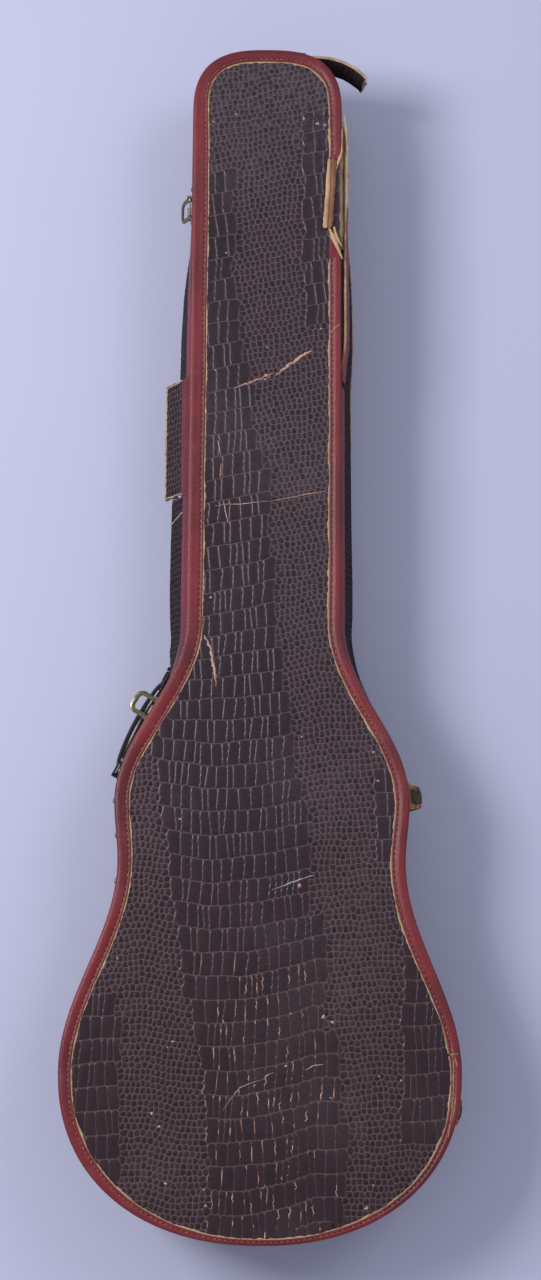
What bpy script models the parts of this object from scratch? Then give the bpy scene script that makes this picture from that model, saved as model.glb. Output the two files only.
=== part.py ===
"""Electric guitar case of pressed board, shaped to the guitar, lying closed on its back.

Metres, +Z up out of the lid, +Y towards the head end, +X towards the hinge side.
The origin is under the middle of the length, on the surface that the case lies on.
Stations are distances from the tail end.
"""

import math

import bmesh
import bpy
from mathutils import Matrix, Vector

# Outline of the lid, as half widths at stations from the tail
LENGTH = 1.050
NECK_HALF = 0.0675
NECK_TOP_HALF = 0.0665
UPPER_BOUT_HALF = 0.1270
WAIST_HALF = 0.1235
LOWER_BOUT_HALF = 0.1710
LOWER_BOUT_AT = 0.144
WAIST_AT = 0.322
UPPER_BOUT_AT = 0.374
NECK_FOOT_AT = 0.530
HEAD_ROUND = 0.062
HEAD_POWER = 2.8
TAIL_POWER = 2.2
TAIL_STEPS = 11
BOUT_STEPS = 8
WAIST_STEPS = 3
SHOULDER_STEPS = 8
NECK_STEPS = 6
HEAD_STEPS = 8

# Boards, strips and the room between them
DEPTH = 0.100
GAP = 0.0003
PANEL_BOARD = 0.0030
RIM_BOARD = 0.0024
TRAY_BOARD = 0.0026
RIM_DEPTH = 0.040
RIM_OVERLAP = 0.025
RIM_CLEARANCE = 0.0026
LINING = 0.0012
BINDING = 0.0010
BINDING_FACE = 0.0125
BINDING_SIDE = 0.0120
BINDING_CORNER = 0.0020
CORNER_STEPS = 2
SEAM = 0.0006

# Wear that has changed the shape of the lid
NECK_FLARE = 0.012
FLARE_FROM = 0.480
FLARE_BELOW_HEAD = 0.165
FLAP_FLARE = 0.0185
FLAP_START_BELOW_HEAD = 0.413
FLAP_END_BELOW_HEAD = 0.305
CRACK = 0.0016
RIM_JOINT_BELOW_HEAD = 0.075
RIM_TEAR_BELOW_HEAD = 0.065
CURL_FROM_HALF = 0.046
CURL_RADIUS = 0.060
CURL_LENGTH = 0.050
CURL_START = math.radians(8)
CURL_STEPS = 8
BARE_START_BELOW_HEAD = 0.194
BARE_END_BELOW_HEAD = 0.103
BINDING_JOINT_AT = 0.161
BINDING_JOINT_GAP = 0.0012

# Hinge straps
HINGE_OUT = 0.0050
UPPER_STRAP_AT = 0.381
LOWER_STRAP_AT = 0.112
UPPER_STRAP_BULGE = 0.0105
STRAP_WIDTH = 0.022
STRAP = 0.0018
STRAP_BELOW_BINDING = 0.0015
STRAP_RISE = 0.013
STRAP_STEPS = 6

# Tacks, rivets and their domed heads
TACK_RADIUS = 0.0032
TACK_HEIGHT = 0.0016
RIVET_RADIUS = 0.0024
RIVET_HEIGHT = 0.0012
RIVET_EDGE = 0.0045
DOME_RIM = 0.25
DOME_SHOULDER_OUT = 0.6
DOME_SHOULDER_UP = 0.85
ROUND_SIDES = 12
CUT_PAST = 0.002

# Latches: a loop hinged on the lid's rim, and a sprung nose on the tray
HEAD_LATCH_BELOW_HEAD = 0.138
SHOULDER_LATCH_AT = 0.456
HEAD_LOOP_OUT = math.radians(25)
SHOULDER_LOOP_OUT = math.radians(90)
PLATE = 0.0012
PLATE_LENGTH = 0.040
PLATE_HEIGHT = 0.016
PLATE_ABOVE_EDGE = 0.003
LOOP_WIDTH = 0.0175
LOOP_LENGTH = 0.0165
LOOP_STRAP = 0.0038
LOOP_THICKNESS = 0.0014
LOOP_OUT = 0.0034
LOOP_ABOVE_EDGE = 0.0060
LOOP_RIVET_ABOVE_EDGE = 0.0126
EAR = 0.0020
EAR_HALF_HEIGHT = 0.0028
PIN_RADIUS = 0.00075
PIN_CLEARANCE = 0.0002
PIN_BORE = PIN_RADIUS + PIN_CLEARANCE
BARREL_WALL = 0.0009
BARREL_RADIUS = PIN_BORE + BARREL_WALL
NOSE_WIDTH = 0.0080
NOSE_THICKNESS = 0.0022
NOSE_SLOPE = 0.0009
NOSE_REACH = 0.0023
NOSE_UNDER_EDGE = 0.0030
LEVER_PIVOT_OUT = 0.0050
LEVER_LENGTH = 0.0180
LEVER = 0.0016
NOSE_PLATE_LENGTH = 0.030
NOSE_PLATE_HEIGHT = 0.024
NOSE_RIVET_UNDER_EDGE = 0.0138

# Carrying handle
HANDLE_HEAD_AT = 0.490
HANDLE_TAIL_AT = 0.400
HANDLE_AXIS_HEIGHT = 0.046
HANDLE_OUT = 0.0120
HANDLE_BOW = 0.029
GRIP_RADIUS = 0.0072
GRIP_SHOULDER_RADIUS = 0.0062
GRIP_NECK_RADIUS = 0.0044
GRIP_END_RADIUS = 0.0038
HANDLE_BARREL = 0.0100
HANDLE_PIN_REACH = 0.0080
HANDLE_PIN_CLEARANCE = 0.0006
BRACKET_WIDTH = 0.020
BRACKET_HEIGHT = 0.014
BRACKET_EAR = 0.0030
BRACKET_EAR_HEIGHT = 0.0084
BRACKET_RIVET_RADIUS = 0.0019
BRACKET_RIVET_ALONG = 0.0060
BRACKET_RIVET_UP = 0.0038

# The grip's centre line from its leg to its middle: share of the leg's distance, share of the bow, radius
GRIP_LINE = (
    (0.975, 0.62, GRIP_NECK_RADIUS),
    (0.775, 0.90, GRIP_SHOULDER_RADIUS),
    (0.390, 1.00, GRIP_RADIUS),
)
GRIP_LEG = 0.30

# Fittings inside
COMPARTMENT_FROM = 0.585
COMPARTMENT_TO = 0.745
COMPARTMENT_HEIGHT = 0.040
BULKHEAD = 0.0040
COMPARTMENT_LID = 0.0030
COMPARTMENT_HINGE_ROOM = 0.0022
HINGE_CLOTH = 0.0008
HINGE_CLOTH_HEIGHT = 0.012
HINGE_CLOTH_SHORT = 0.0064
TAB_LENGTH = 0.026
TAB_WIDTH = 0.016
TAB = 0.0014
TAB_FROM_EDGE = 0.008
CRADLE_AT = 0.835
CRADLE_LENGTH = 0.045
CRADLE_HEIGHT = 0.052
NOTCH_HALF = 0.031
NOTCH_DEPTH = 0.030
NOTCH_ROUND = 0.0165
NOTCH_STEPS = 8

# Levels that follow from the sizes above
LID_FACE = DEPTH - BINDING - GAP
LID_UNDER = LID_FACE - PANEL_BOARD
RIM_TOP = LID_UNDER - GAP
RIM_EDGE = DEPTH - RIM_DEPTH
TRAY_TOP = RIM_EDGE + RIM_OVERLAP
BACK_FACE = BINDING + GAP
BACK_TOP = BACK_FACE + PANEL_BOARD
FLOOR = BACK_TOP + GAP + LINING
HINGE_HEIGHT = RIM_EDGE

# Stations that are measured from the head end
FLARE_TO = LENGTH - FLARE_BELOW_HEAD
FLAP_FROM = LENGTH - FLAP_START_BELOW_HEAD
FLAP_TO = LENGTH - FLAP_END_BELOW_HEAD
RIM_HEAD_JOINT_AT = LENGTH - RIM_JOINT_BELOW_HEAD
RIM_TEAR_AT = LENGTH - RIM_TEAR_BELOW_HEAD
BARE_FROM = LENGTH - BARE_START_BELOW_HEAD
BARE_TO = LENGTH - BARE_END_BELOW_HEAD
HEAD_LATCH_AT = LENGTH - HEAD_LATCH_BELOW_HEAD

# How far each wall stands inside the outline
RIM_INSET = BINDING + GAP
RIM_INNER = RIM_INSET + RIM_BOARD
TRAY_INSET = RIM_INNER + RIM_CLEARANCE
TRAY_INNER = TRAY_INSET + TRAY_BOARD
BACK_BINDING_INSET = TRAY_INSET - BINDING - GAP
LINING_INSET = TRAY_INNER + GAP
ROOM_INSET = LINING_INSET + LINING + GAP
LATCH_SIDE = -1
HINGE_SIDE = 1


def start_collections():
    """Empty the file of objects, then make the collection of parts and the one of cutters."""
    for old in list(bpy.data.objects):
        bpy.data.objects.remove(old)
    made = []
    for name in ("guitar_case", "guitar_case_cutters"):
        collection = bpy.data.collections.new(name)
        bpy.context.scene.collection.children.link(collection)
        made.append(collection)
    return made


PARTS, CUTTERS = start_collections()


def material(name, colour, roughness, metallic=0.0):
    made = bpy.data.materials.new(name)
    made.use_nodes = True
    shader = made.node_tree.nodes["Principled BSDF"]
    shader.inputs["Base Color"].default_value = (*colour, 1.0)
    shader.inputs["Roughness"].default_value = roughness
    shader.inputs["Metallic"].default_value = metallic
    return made


def finish(obj, colour_of_part, smooth=None):
    """Give a part its material and, for a round piece, smooth shading."""
    colour, roughness, metallic = colour_of_part
    obj.data.materials.clear()
    obj.data.materials.append(material(obj.name, colour, roughness, metallic))
    if smooth is not None:
        obj.data.shade_smooth()
        obj.data.set_sharp_from_angle(angle=smooth)
    return obj


EMBOSSED_BOARD = ((0.055, 0.042, 0.040), 0.45, 0.0)
LEATHERETTE = ((0.180, 0.045, 0.055), 0.40, 0.0)
PLUSH = ((0.260, 0.090, 0.070), 0.95, 0.0)
RAW_BOARD = ((0.420, 0.300, 0.190), 0.85, 0.0)
LEATHER = ((0.300, 0.130, 0.045), 0.75, 0.0)
BLACK_LEATHER = ((0.015, 0.014, 0.014), 0.25, 0.0)
LATCH_STEEL = ((0.420, 0.410, 0.360), 0.35, 1.0)
BRASS = ((0.550, 0.420, 0.200), 0.35, 1.0)
ROUND = math.radians(35)


def new_object(name, data, collection=PARTS):
    made = bpy.data.objects.new(name, data)
    collection.objects.link(made)
    if collection is CUTTERS:
        made.hide_render = True
        made.display_type = "WIRE"
    return made


def keep_place(obj, parent):
    """Parent a piece to an empty without moving it."""
    bpy.context.view_layer.update()
    obj.parent = parent
    obj.matrix_parent_inverse = parent.matrix_world.inverted()
    return obj


def modify(obj, kind, **settings):
    modifier = obj.modifiers.new(kind.lower(), kind)
    for key, value in settings.items():
        setattr(modifier, key, value)
    return modifier


def cut(obj, cutter):
    modify(obj, "BOOLEAN", operation="DIFFERENCE", object=cutter)


def join(obj, other):
    modify(obj, "BOOLEAN", operation="UNION", object=other)


def ease(start, end, share):
    """A value between start and end on half a cosine wave."""
    return start + (end - start) * (1 - math.cos(math.pi * share)) / 2


def half_outline():
    """The hinge-side half of the outline, tail to head, centred on the middle of the length."""
    points = []
    for step in range(TAIL_STEPS):
        turn = math.pi / 2 * step / TAIL_STEPS
        across = LOWER_BOUT_HALF * math.sin(turn) ** (2 / TAIL_POWER)
        along = LOWER_BOUT_AT * (1 - math.cos(turn) ** (2 / TAIL_POWER))
        points.append((across, along))
    stretches = (
        (LOWER_BOUT_AT, LOWER_BOUT_HALF, WAIST_AT, WAIST_HALF, BOUT_STEPS),
        (WAIST_AT, WAIST_HALF, UPPER_BOUT_AT, UPPER_BOUT_HALF, WAIST_STEPS),
        (UPPER_BOUT_AT, UPPER_BOUT_HALF, NECK_FOOT_AT, NECK_HALF, SHOULDER_STEPS),
    )
    for low, low_half, high, high_half, steps in stretches:
        for step in range(steps):
            share = step / steps
            points.append((ease(low_half, high_half, share), low + (high - low) * share))
    head_from = LENGTH - HEAD_ROUND
    for step in range(NECK_STEPS):
        share = step / NECK_STEPS
        across = NECK_HALF + (NECK_TOP_HALF - NECK_HALF) * share
        points.append((across, NECK_FOOT_AT + (head_from - NECK_FOOT_AT) * share))
    for step in range(HEAD_STEPS + 1):
        turn = math.pi / 2 * step / HEAD_STEPS
        across = NECK_TOP_HALF * math.cos(turn) ** (2 / HEAD_POWER) if step < HEAD_STEPS else 0
        points.append((across, head_from + HEAD_ROUND * math.sin(turn) ** (2 / HEAD_POWER)))
    return [Vector((across, along - LENGTH / 2)) for across, along in points]


def whole_outline(inset=0.0):
    """The closed outline, anticlockwise from the tail, moved inwards by inset."""
    half = half_outline()
    mirrored = [Vector((-point.x, point.y)) for point in reversed(half[1:-1])]
    loop = half + mirrored
    moved = []
    for index, point in enumerate(loop):
        before = (point - loop[index - 1]).normalized()
        after = (loop[(index + 1) % len(loop)] - point).normalized()
        outwards = Vector((before.y + after.y, -before.x - after.x)).normalized()
        mitre = outwards.dot(Vector((before.y, -before.x)))
        moved.append(point - outwards * (inset / mitre))
    return moved


def side_outline(side, inset):
    """One side of the moved outline, tail to head, with half the seam left off at both ends."""
    loop = whole_outline(inset)
    points = [Vector((point.x * side, point.y)) for point in loop[: len(loop) // 2 + 1]]
    points[0].x = points[-1].x = side * SEAM / 2
    return points


def wall_at(station, side, inset):
    """The point of a wall at a station, and the wall's outward normal there."""
    points = [Vector((point.x * side, point.y)) for point in half_outline()]
    height = station - LENGTH / 2
    for low, high in zip(points, points[1:]):
        if low.y <= height <= high.y:
            along = (high - low).normalized()
            outwards = Vector((along.y, -along.x)) * side
            share = (height - low.y) / (high.y - low.y)
            return low.lerp(high, share) - outwards * inset, outwards
    raise ValueError(f"no wall at station {station}")


def between(points, low, high):
    """The part of an open run of points whose y lies between two heights, cut at both."""
    kept = []
    for first, second in zip(points, points[1:]):
        if second.y == first.y:
            continue
        for height in sorted((low, high), reverse=second.y < first.y):
            share = (height - first.y) / (second.y - first.y)
            if 0 < share <= 1:
                kept.append(first.lerp(second, share))
        if low < second.y < high:
            kept.append(second)
    inside = [point for point in points[:1] if low < point.y < high]
    return inside + kept


def poly_curve(name, loops, closed, depth=0.0, fill=False):
    """A 2D curve of straight stretches, drawn in its own XY plane."""
    data = bpy.data.curves.new(name, "CURVE")
    data.dimensions = "2D"
    data.fill_mode = "BOTH" if fill else "NONE"
    data.extrude = depth / 2
    for loop in loops:
        spline = data.splines.new("POLY")
        spline.points.add(len(loop) - 1)
        for point, place in zip(spline.points, loop):
            point.co = (place[0], place[1], 0.0, 1.0)
        spline.use_cyclic_u = closed
    return data


def as_mesh(obj, collection=PARTS):
    """Turn a curve object into a mesh object of the same name, with its caps welded on."""
    bpy.context.view_layer.update()
    graph = bpy.context.evaluated_depsgraph_get()
    mesh = bpy.data.meshes.new_from_object(obj.evaluated_get(graph))
    form = bmesh.new()
    form.from_mesh(mesh)
    bmesh.ops.remove_doubles(form, verts=form.verts, dist=0.00001)
    bmesh.ops.recalc_face_normals(form, faces=form.faces)
    form.to_mesh(mesh)
    form.free()
    name = obj.name
    matrix = obj.matrix_world.copy()
    parent = obj.parent
    bpy.data.objects.remove(obj)
    made = new_object(name, mesh, collection)
    made.matrix_world = matrix
    return keep_place(made, parent) if parent else made


def plate_of(name, loops, low, high):
    """A flat piece with the given outlines, lying between two heights."""
    data = poly_curve(name, loops, True, high - low, fill=True)
    made = new_object(name, data)
    made.location.z = (low + high) / 2
    return as_mesh(made)


def strip_of(name, points, closed, low, high, thickness, outwards=None):
    """A wall of board on edge, whose outer face stands on the given run of points."""
    made = new_object(name, poly_curve(name, [points], closed, high - low))
    made.location.z = (low + high) / 2
    made = as_mesh(made)
    made.data.transform(Matrix.Translation((0, 0, made.location.z)))
    made.location.z = 0
    form = bmesh.new()
    form.from_mesh(made.data)
    form.faces.ensure_lookup_table()
    first = form.faces[0]
    middle = first.calc_center_median()
    if outwards is None:
        outwards = Vector((middle.x, middle.y))
    if first.normal.xy.dot(outwards) < 0:
        bmesh.ops.reverse_faces(form, faces=form.faces)
    form.to_mesh(made.data)
    form.free()
    modify(made, "SOLIDIFY", thickness=thickness, offset=-1.0, use_even_offset=True)
    return made


def cube(name, size, place, collection=PARTS, parent=None):
    mesh = bpy.data.meshes.new(name)
    form = bmesh.new()
    bmesh.ops.create_cube(form, size=1.0)
    bmesh.ops.scale(form, vec=size, verts=form.verts)
    bmesh.ops.translate(form, vec=place, verts=form.verts)
    form.to_mesh(mesh)
    form.free()
    made = new_object(name, mesh, collection)
    made.parent = parent
    return made


def rod(name, radius, length, place, collection=PARTS, parent=None):
    """A round bar centred on a place, along its parent's Y axis."""
    mesh = bpy.data.meshes.new(name)
    form = bmesh.new()
    bmesh.ops.create_cone(
        form, cap_ends=True, segments=ROUND_SIDES, radius1=radius, radius2=radius, depth=length
    )
    rotation = Matrix.Rotation(math.pi / 2, 3, "X")
    bmesh.ops.rotate(form, cent=(0, 0, 0), matrix=rotation, verts=form.verts)
    bmesh.ops.translate(form, vec=place, verts=form.verts)
    form.to_mesh(mesh)
    form.free()
    made = new_object(name, mesh, collection)
    made.parent = parent
    return made


def bore(piece, name, radius, length, place, parent):
    """Drill a piece along its parent's Y axis, a little past both ends of a given length."""
    cut(piece, rod(name, radius, length + 2 * CUT_PAST, place, CUTTERS, parent))


def dome(name, radius, height, place, parent):
    """A tack or rivet head standing on a wall, its flat side towards the wall."""
    profile = bpy.data.meshes.new(name)
    form = bmesh.new()
    points = [
        (0.0, height),
        (radius * DOME_SHOULDER_OUT, height * DOME_SHOULDER_UP),
        (radius, height * DOME_RIM),
        (radius, 0.0),
        (0.0, 0.0),
    ]
    corners = [form.verts.new((across, 0.0, up)) for across, up in points]
    for low, high in zip(corners, corners[1:]):
        form.edges.new((low, high))
    form.to_mesh(profile)
    form.free()
    made = new_object(name, profile)
    modify(
        made,
        "SCREW",
        steps=ROUND_SIDES,
        render_steps=ROUND_SIDES,
        use_merge_vertices=True,
        merge_threshold=0.00001,
    )
    made.rotation_euler = (0.0, math.pi / 2, 0.0)
    made.location = place
    made.parent = parent
    return made


def empty(name, place, outwards=None, parent=None):
    """An axis or a mounting place: local X points outwards from the wall, local Z up."""
    made = new_object(name, None)
    made.location = place
    if outwards is not None:
        made.rotation_euler.z = math.atan2(outwards.y, outwards.x)
    if parent:
        keep_place(made, parent)
    bpy.context.view_layer.update()
    return made


def seat(station, side, inset, half_length):
    """Where a flat plate of a given length clears the wall: its place and its outward normal."""
    centre, outwards = wall_at(station, side, inset)
    along = Vector((-outwards.y, outwards.x))
    proud = 0.0
    samples = 12
    loop = [Vector((point.x * side, point.y)) for point in whole_outline(inset)]
    half = loop[: len(loop) // 2 + 1]
    for low, high in zip(half, half[1:]):
        for step in range(samples + 1):
            offset = low.lerp(high, step / samples) - centre
            if abs(offset.dot(along)) <= half_length:
                proud = max(proud, offset.dot(outwards))
    return centre + outwards * (proud + GAP), outwards


def binding_run(inset):
    """The run of a binding strip round an edge, from its joint at the hinge side and back."""
    loop = whole_outline(inset)
    half = loop[: len(loop) // 2 + 1]
    joint = BINDING_JOINT_AT - LENGTH / 2
    above = between(half, joint + BINDING_JOINT_GAP / 2, LENGTH)
    below = between(half, half[0].y, joint - BINDING_JOINT_GAP / 2)
    return above + loop[len(loop) // 2 + 1 :] + [loop[0]] + below


def binding_strip(name, points, height, up):
    """A folded strip stitched round the edge of a panel, with its outer corner at a height."""
    corner = BINDING_CORNER
    section = [(-BINDING_FACE, 0.0)]
    for step in range(CORNER_STEPS + 1):
        turn = math.pi / 2 * step / CORNER_STEPS
        section.append((corner * (math.sin(turn) - 1), corner * (math.cos(turn) - 1)))
    section += [(0.0, -BINDING_SIDE), (-BINDING, -BINDING_SIDE)]
    section += [(-BINDING, -BINDING), (-BINDING_FACE, -BINDING)]
    section = [(across, out * up) for across, out in section]
    profile = new_object(f"{name}_section", poly_curve(f"{name}_section", [section], True), CUTTERS)
    data = poly_curve(name, [points], False)
    data.bevel_mode = "OBJECT"
    data.bevel_object = profile
    data.use_fill_caps = True
    made = new_object(name, data)
    made.location.z = height
    return finish(as_mesh(made), LEATHERETTE, ROUND)


def spot(point, height):
    return Vector((point.x, point.y, height))


def make_tray():
    """The back half of the case: panel, two walls of bent board, and binding round the back."""
    panel = plate_of("back_panel", [whole_outline(TRAY_INSET)], BACK_FACE, BACK_TOP)
    finish(panel, EMBOSSED_BOARD)
    for name, side in (("tray_wall_latch_side", LATCH_SIDE), ("tray_wall_hinge_side", HINGE_SIDE)):
        points = side_outline(side, TRAY_INSET)
        wall = strip_of(name, points, False, BACK_TOP + GAP, TRAY_TOP, TRAY_BOARD)
        finish(wall, EMBOSSED_BOARD)
    binding_strip("back_binding", binding_run(BACK_BINDING_INSET), 0.0, -1)


def make_tray_lining():
    """Plush glued to the floor and the walls of the tray."""
    floor = plate_of("tray_floor_lining", [whole_outline(ROOM_INSET)], BACK_TOP + GAP, FLOOR)
    finish(floor, PLUSH)
    points = whole_outline(LINING_INSET)
    top = TRAY_TOP - GAP
    wall = strip_of("tray_wall_lining", points, True, BACK_TOP + GAP, top, LINING)
    finish(wall, PLUSH)


def flare_at(height, side):
    """How far the free edge of the rim has splayed outwards at a height along the neck."""
    station = height + LENGTH / 2
    if not FLARE_FROM < station < FLARE_TO:
        return 0.0
    if side == LATCH_SIDE and FLAP_FROM < station < FLAP_TO:
        return FLAP_FLARE
    share = (station - FLARE_FROM) / (FLARE_TO - FLARE_FROM)
    return NECK_FLARE * math.sqrt(math.sin(math.pi * share))


def splay(rim, side):
    """Lean the rim outwards along the neck, below the side of its binding."""
    level = DEPTH - BINDING_SIDE - GAP
    form = bmesh.new()
    form.from_mesh(rim.data)
    cuts = [((0, 0, level), (0, 0, 1))]
    for station in (FLARE_FROM, FLARE_TO, FLAP_FROM, FLAP_TO):
        for shift in (-CRACK, CRACK):
            cuts.append(((0, station + shift - LENGTH / 2, 0), (0, 1, 0)))
    for place, direction in cuts:
        every = form.verts[:] + form.edges[:] + form.faces[:]
        bmesh.ops.bisect_plane(form, geom=every, dist=0.000001, plane_co=place, plane_no=direction)
    for corner in form.verts:
        if corner.co.z < level - GAP:
            lean = (level - corner.co.z) / (level - RIM_EDGE)
            corner.co.x += side * lean * flare_at(corner.co.y, side)
    form.to_mesh(rim.data)
    form.free()


def rim_run(side):
    """The run of one long rim strip, from the tail joint to where it ends below the head."""
    ends_at = RIM_HEAD_JOINT_AT if side == LATCH_SIDE else RIM_TEAR_AT
    points = side_outline(side, RIM_INSET)
    return points[:1] + between(points, points[0].y, ends_at - LENGTH / 2)


def make_rim():
    """The lid's side walls: a strip down each side, and one round the head that tore away."""
    for name, side in (("rim_strip_latch_side", LATCH_SIDE), ("rim_strip_hinge_side", HINGE_SIDE)):
        rim = strip_of(name, rim_run(side), False, RIM_EDGE, RIM_TOP, RIM_BOARD)
        splay(rim, side)
        if side == LATCH_SIDE:
            for number, station in enumerate((FLAP_FROM, FLAP_TO)):
                middle = NECK_HALF + FLAP_FLARE / 2
                top = DEPTH - BINDING_SIDE - CRACK
                size = (FLAP_FLARE * 3, CRACK * 2, 2 * (top - RIM_EDGE))
                place = (side * middle, station - LENGTH / 2, RIM_EDGE)
                cut(rim, cube(f"rim_crack_{number + 1}", size, place, CUTTERS))
        finish(rim, EMBOSSED_BOARD)

    low = RIM_HEAD_JOINT_AT + SEAM - LENGTH / 2
    left = between(side_outline(LATCH_SIDE, RIM_INSET), low, LENGTH)
    right = side_outline(HINGE_SIDE, RIM_INSET)
    arc = [point for point in reversed(right) if point.x < CURL_FROM_HALF and point.y > low]
    run = left[:-1] + arc
    leaves = run[-1].x - RIM_BOARD
    place = run[-1].copy()
    heading = CURL_START
    step = CURL_LENGTH / CURL_STEPS
    for _ in range(CURL_STEPS):
        place = place + step * Vector((math.cos(heading), math.sin(heading)))
        run.append(place.copy())
        heading -= step / CURL_RADIUS
    strip = strip_of("rim_strip_head", run, False, RIM_EDGE, RIM_TOP, RIM_BOARD, Vector((-1, 0)))
    free = DEPTH - BINDING_SIDE - GAP
    reach = CURL_LENGTH * 2
    trim = cube(
        "curl_trim",
        (reach, reach, RIM_TOP - free + CRACK),
        (leaves + reach / 2, LENGTH / 2, free + (RIM_TOP - free + CRACK) / 2),
        CUTTERS,
    )
    cut(strip, trim)
    finish(strip, EMBOSSED_BOARD)


def make_lid():
    """The lid panel with its rim, the strip inside it, lining and stitched binding."""
    panel = plate_of("lid_panel", [whole_outline(RIM_INSET)], LID_UNDER, LID_FACE)
    finish(panel, EMBOSSED_BOARD)
    make_rim()
    band = strip_of(
        "lid_liner_band",
        whole_outline(RIM_INNER + GAP),
        True,
        TRAY_TOP + GAP,
        LID_UNDER - GAP,
        TRAY_INNER - RIM_INNER - GAP,
    )
    finish(band, RAW_BOARD)
    lining = plate_of(
        "lid_lining",
        [whole_outline(LINING_INSET)],
        LID_UNDER - GAP - LINING,
        LID_UNDER - GAP,
    )
    finish(lining, PLUSH)
    make_lid_binding()


def make_lid_binding():
    """The lid's binding, with the stretch of its face that is torn away beside the neck."""
    strip = binding_strip("lid_binding", binding_run(0.0), DEPTH, 1)
    inner = NECK_TOP_HALF - BINDING_FACE - CUT_PAST
    outer = NECK_TOP_HALF - BINDING_CORNER
    bare = cube(
        "bare_edge",
        (outer - inner, BARE_TO - BARE_FROM, 2 * (BINDING + CUT_PAST)),
        ((outer + inner) / 2, (BARE_FROM + BARE_TO) / 2 - LENGTH / 2, DEPTH),
        CUTTERS,
    )
    cut(strip, bare)


def hinge_line():
    """A straight line just outside the whole hinge side: a point on it, and its direction."""
    low = Vector((LOWER_BOUT_HALF, LOWER_BOUT_AT - LENGTH / 2))
    high = Vector((NECK_TOP_HALF, LENGTH / 2 - HEAD_ROUND))
    along = (high - low).normalized()
    outwards = Vector((along.y, -along.x))
    reach = max(point.dot(outwards) for point in half_outline()) + HINGE_OUT
    start = low + outwards * (reach - low.dot(outwards))
    return start, outwards


def make_hinge_strap(name, station, bulge, lid_axis):
    """A leather strap looped over the hinge line, as its half on the tray and its half on the lid."""
    ends = (("tray", TRAY_INSET, -1, None), ("lid", RIM_INSET, 1, lid_axis))
    high = DEPTH - BINDING_SIDE - STRAP_BELOW_BINDING - HINGE_HEIGHT
    for end, inset, way, parent in ends:
        start, outwards = seat(station, HINGE_SIDE, inset, STRAP_WIDTH / 2)
        foot = empty(f"{name}_{end}_place", spot(start, HINGE_HEIGHT), outwards, parent)
        centre, _ = wall_at(station, HINGE_SIDE, 0.0)
        reach = (centre - start).dot(outwards) + bulge
        path = [(0.0, way * high)]
        for step in range(STRAP_STEPS + 1):
            share = step / STRAP_STEPS
            across = ease(0.0, reach - STRAP, share)
            path.append((across, way * (GAP / 2 + STRAP_RISE * (1 - share))))
        data = poly_curve(f"{name}_{end}", [path], False, STRAP_WIDTH)
        strap = new_object(data.name, data)
        strap.rotation_euler = (math.pi / 2, 0.0, 0.0)
        strap.parent = foot
        strap = as_mesh(strap)
        make_sheet_thick(strap, way)
        finish(strap, LEATHER, ROUND)
        height = way * (STRAP_RISE + high) / 2
        tack = dome(f"{name}_{end}_tack", TACK_RADIUS, TACK_HEIGHT, (STRAP + GAP, 0.0, height), foot)
        finish(tack, BRASS, ROUND)


def make_sheet_thick(strap, way):
    """Give the strap its thickness on the side away from the wall."""
    form = bmesh.new()
    form.from_mesh(strap.data)
    form.faces.ensure_lookup_table()
    upright = max(form.faces, key=lambda face: abs(face.calc_center_median().y * way))
    if upright.normal.x < 0:
        bmesh.ops.reverse_faces(form, faces=form.faces)
    form.to_mesh(strap.data)
    form.free()
    modify(strap, "SOLIDIFY", thickness=STRAP, offset=1.0, use_even_offset=True)


def make_latch(name, station, loop_out, lid_axis):
    """A latch: plate, pin and loop on the rim, and plate, pin and sprung nose on the tray."""
    start, outwards = seat(station, LATCH_SIDE, RIM_INSET, PLATE_LENGTH / 2)
    place = empty(f"{name}_rim_place", spot(start, RIM_EDGE), outwards, lid_axis)
    make_loop_side(name, place, loop_out)
    start, outwards = seat(station, LATCH_SIDE, TRAY_INSET, NOSE_PLATE_LENGTH / 2)
    place = empty(f"{name}_tray_place", spot(start, RIM_EDGE), outwards)
    make_nose_side(name, place)


def lugs(name, plate, out, height, inner, place):
    """Two upright ears on a plate, bored for a pin that runs along the wall."""
    for number, way in enumerate((-1, 1)):
        reach = out + EAR_HALF_HEIGHT
        size = (reach, EAR, 2 * EAR_HALF_HEIGHT)
        middle = (reach / 2, way * (inner + EAR / 2), height)
        ear = cube(f"{name}_ear_{number + 1}", size, middle, CUTTERS, place)
        join(plate, ear)
    bore(plate, f"{name}_bore", PIN_BORE, 2 * (inner + EAR), (out, 0, height), place)


def rivet_plate(name, spacing, height, place):
    """Two domed rivets through a plate, on a line along the wall."""
    for number, way in enumerate((-1, 1)):
        middle = (PLATE + GAP, way * spacing / 2, height)
        rivet = dome(f"{name}_rivet_{number + 1}", RIVET_RADIUS, RIVET_HEIGHT, middle, place)
        finish(rivet, LATCH_STEEL, ROUND)


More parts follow.
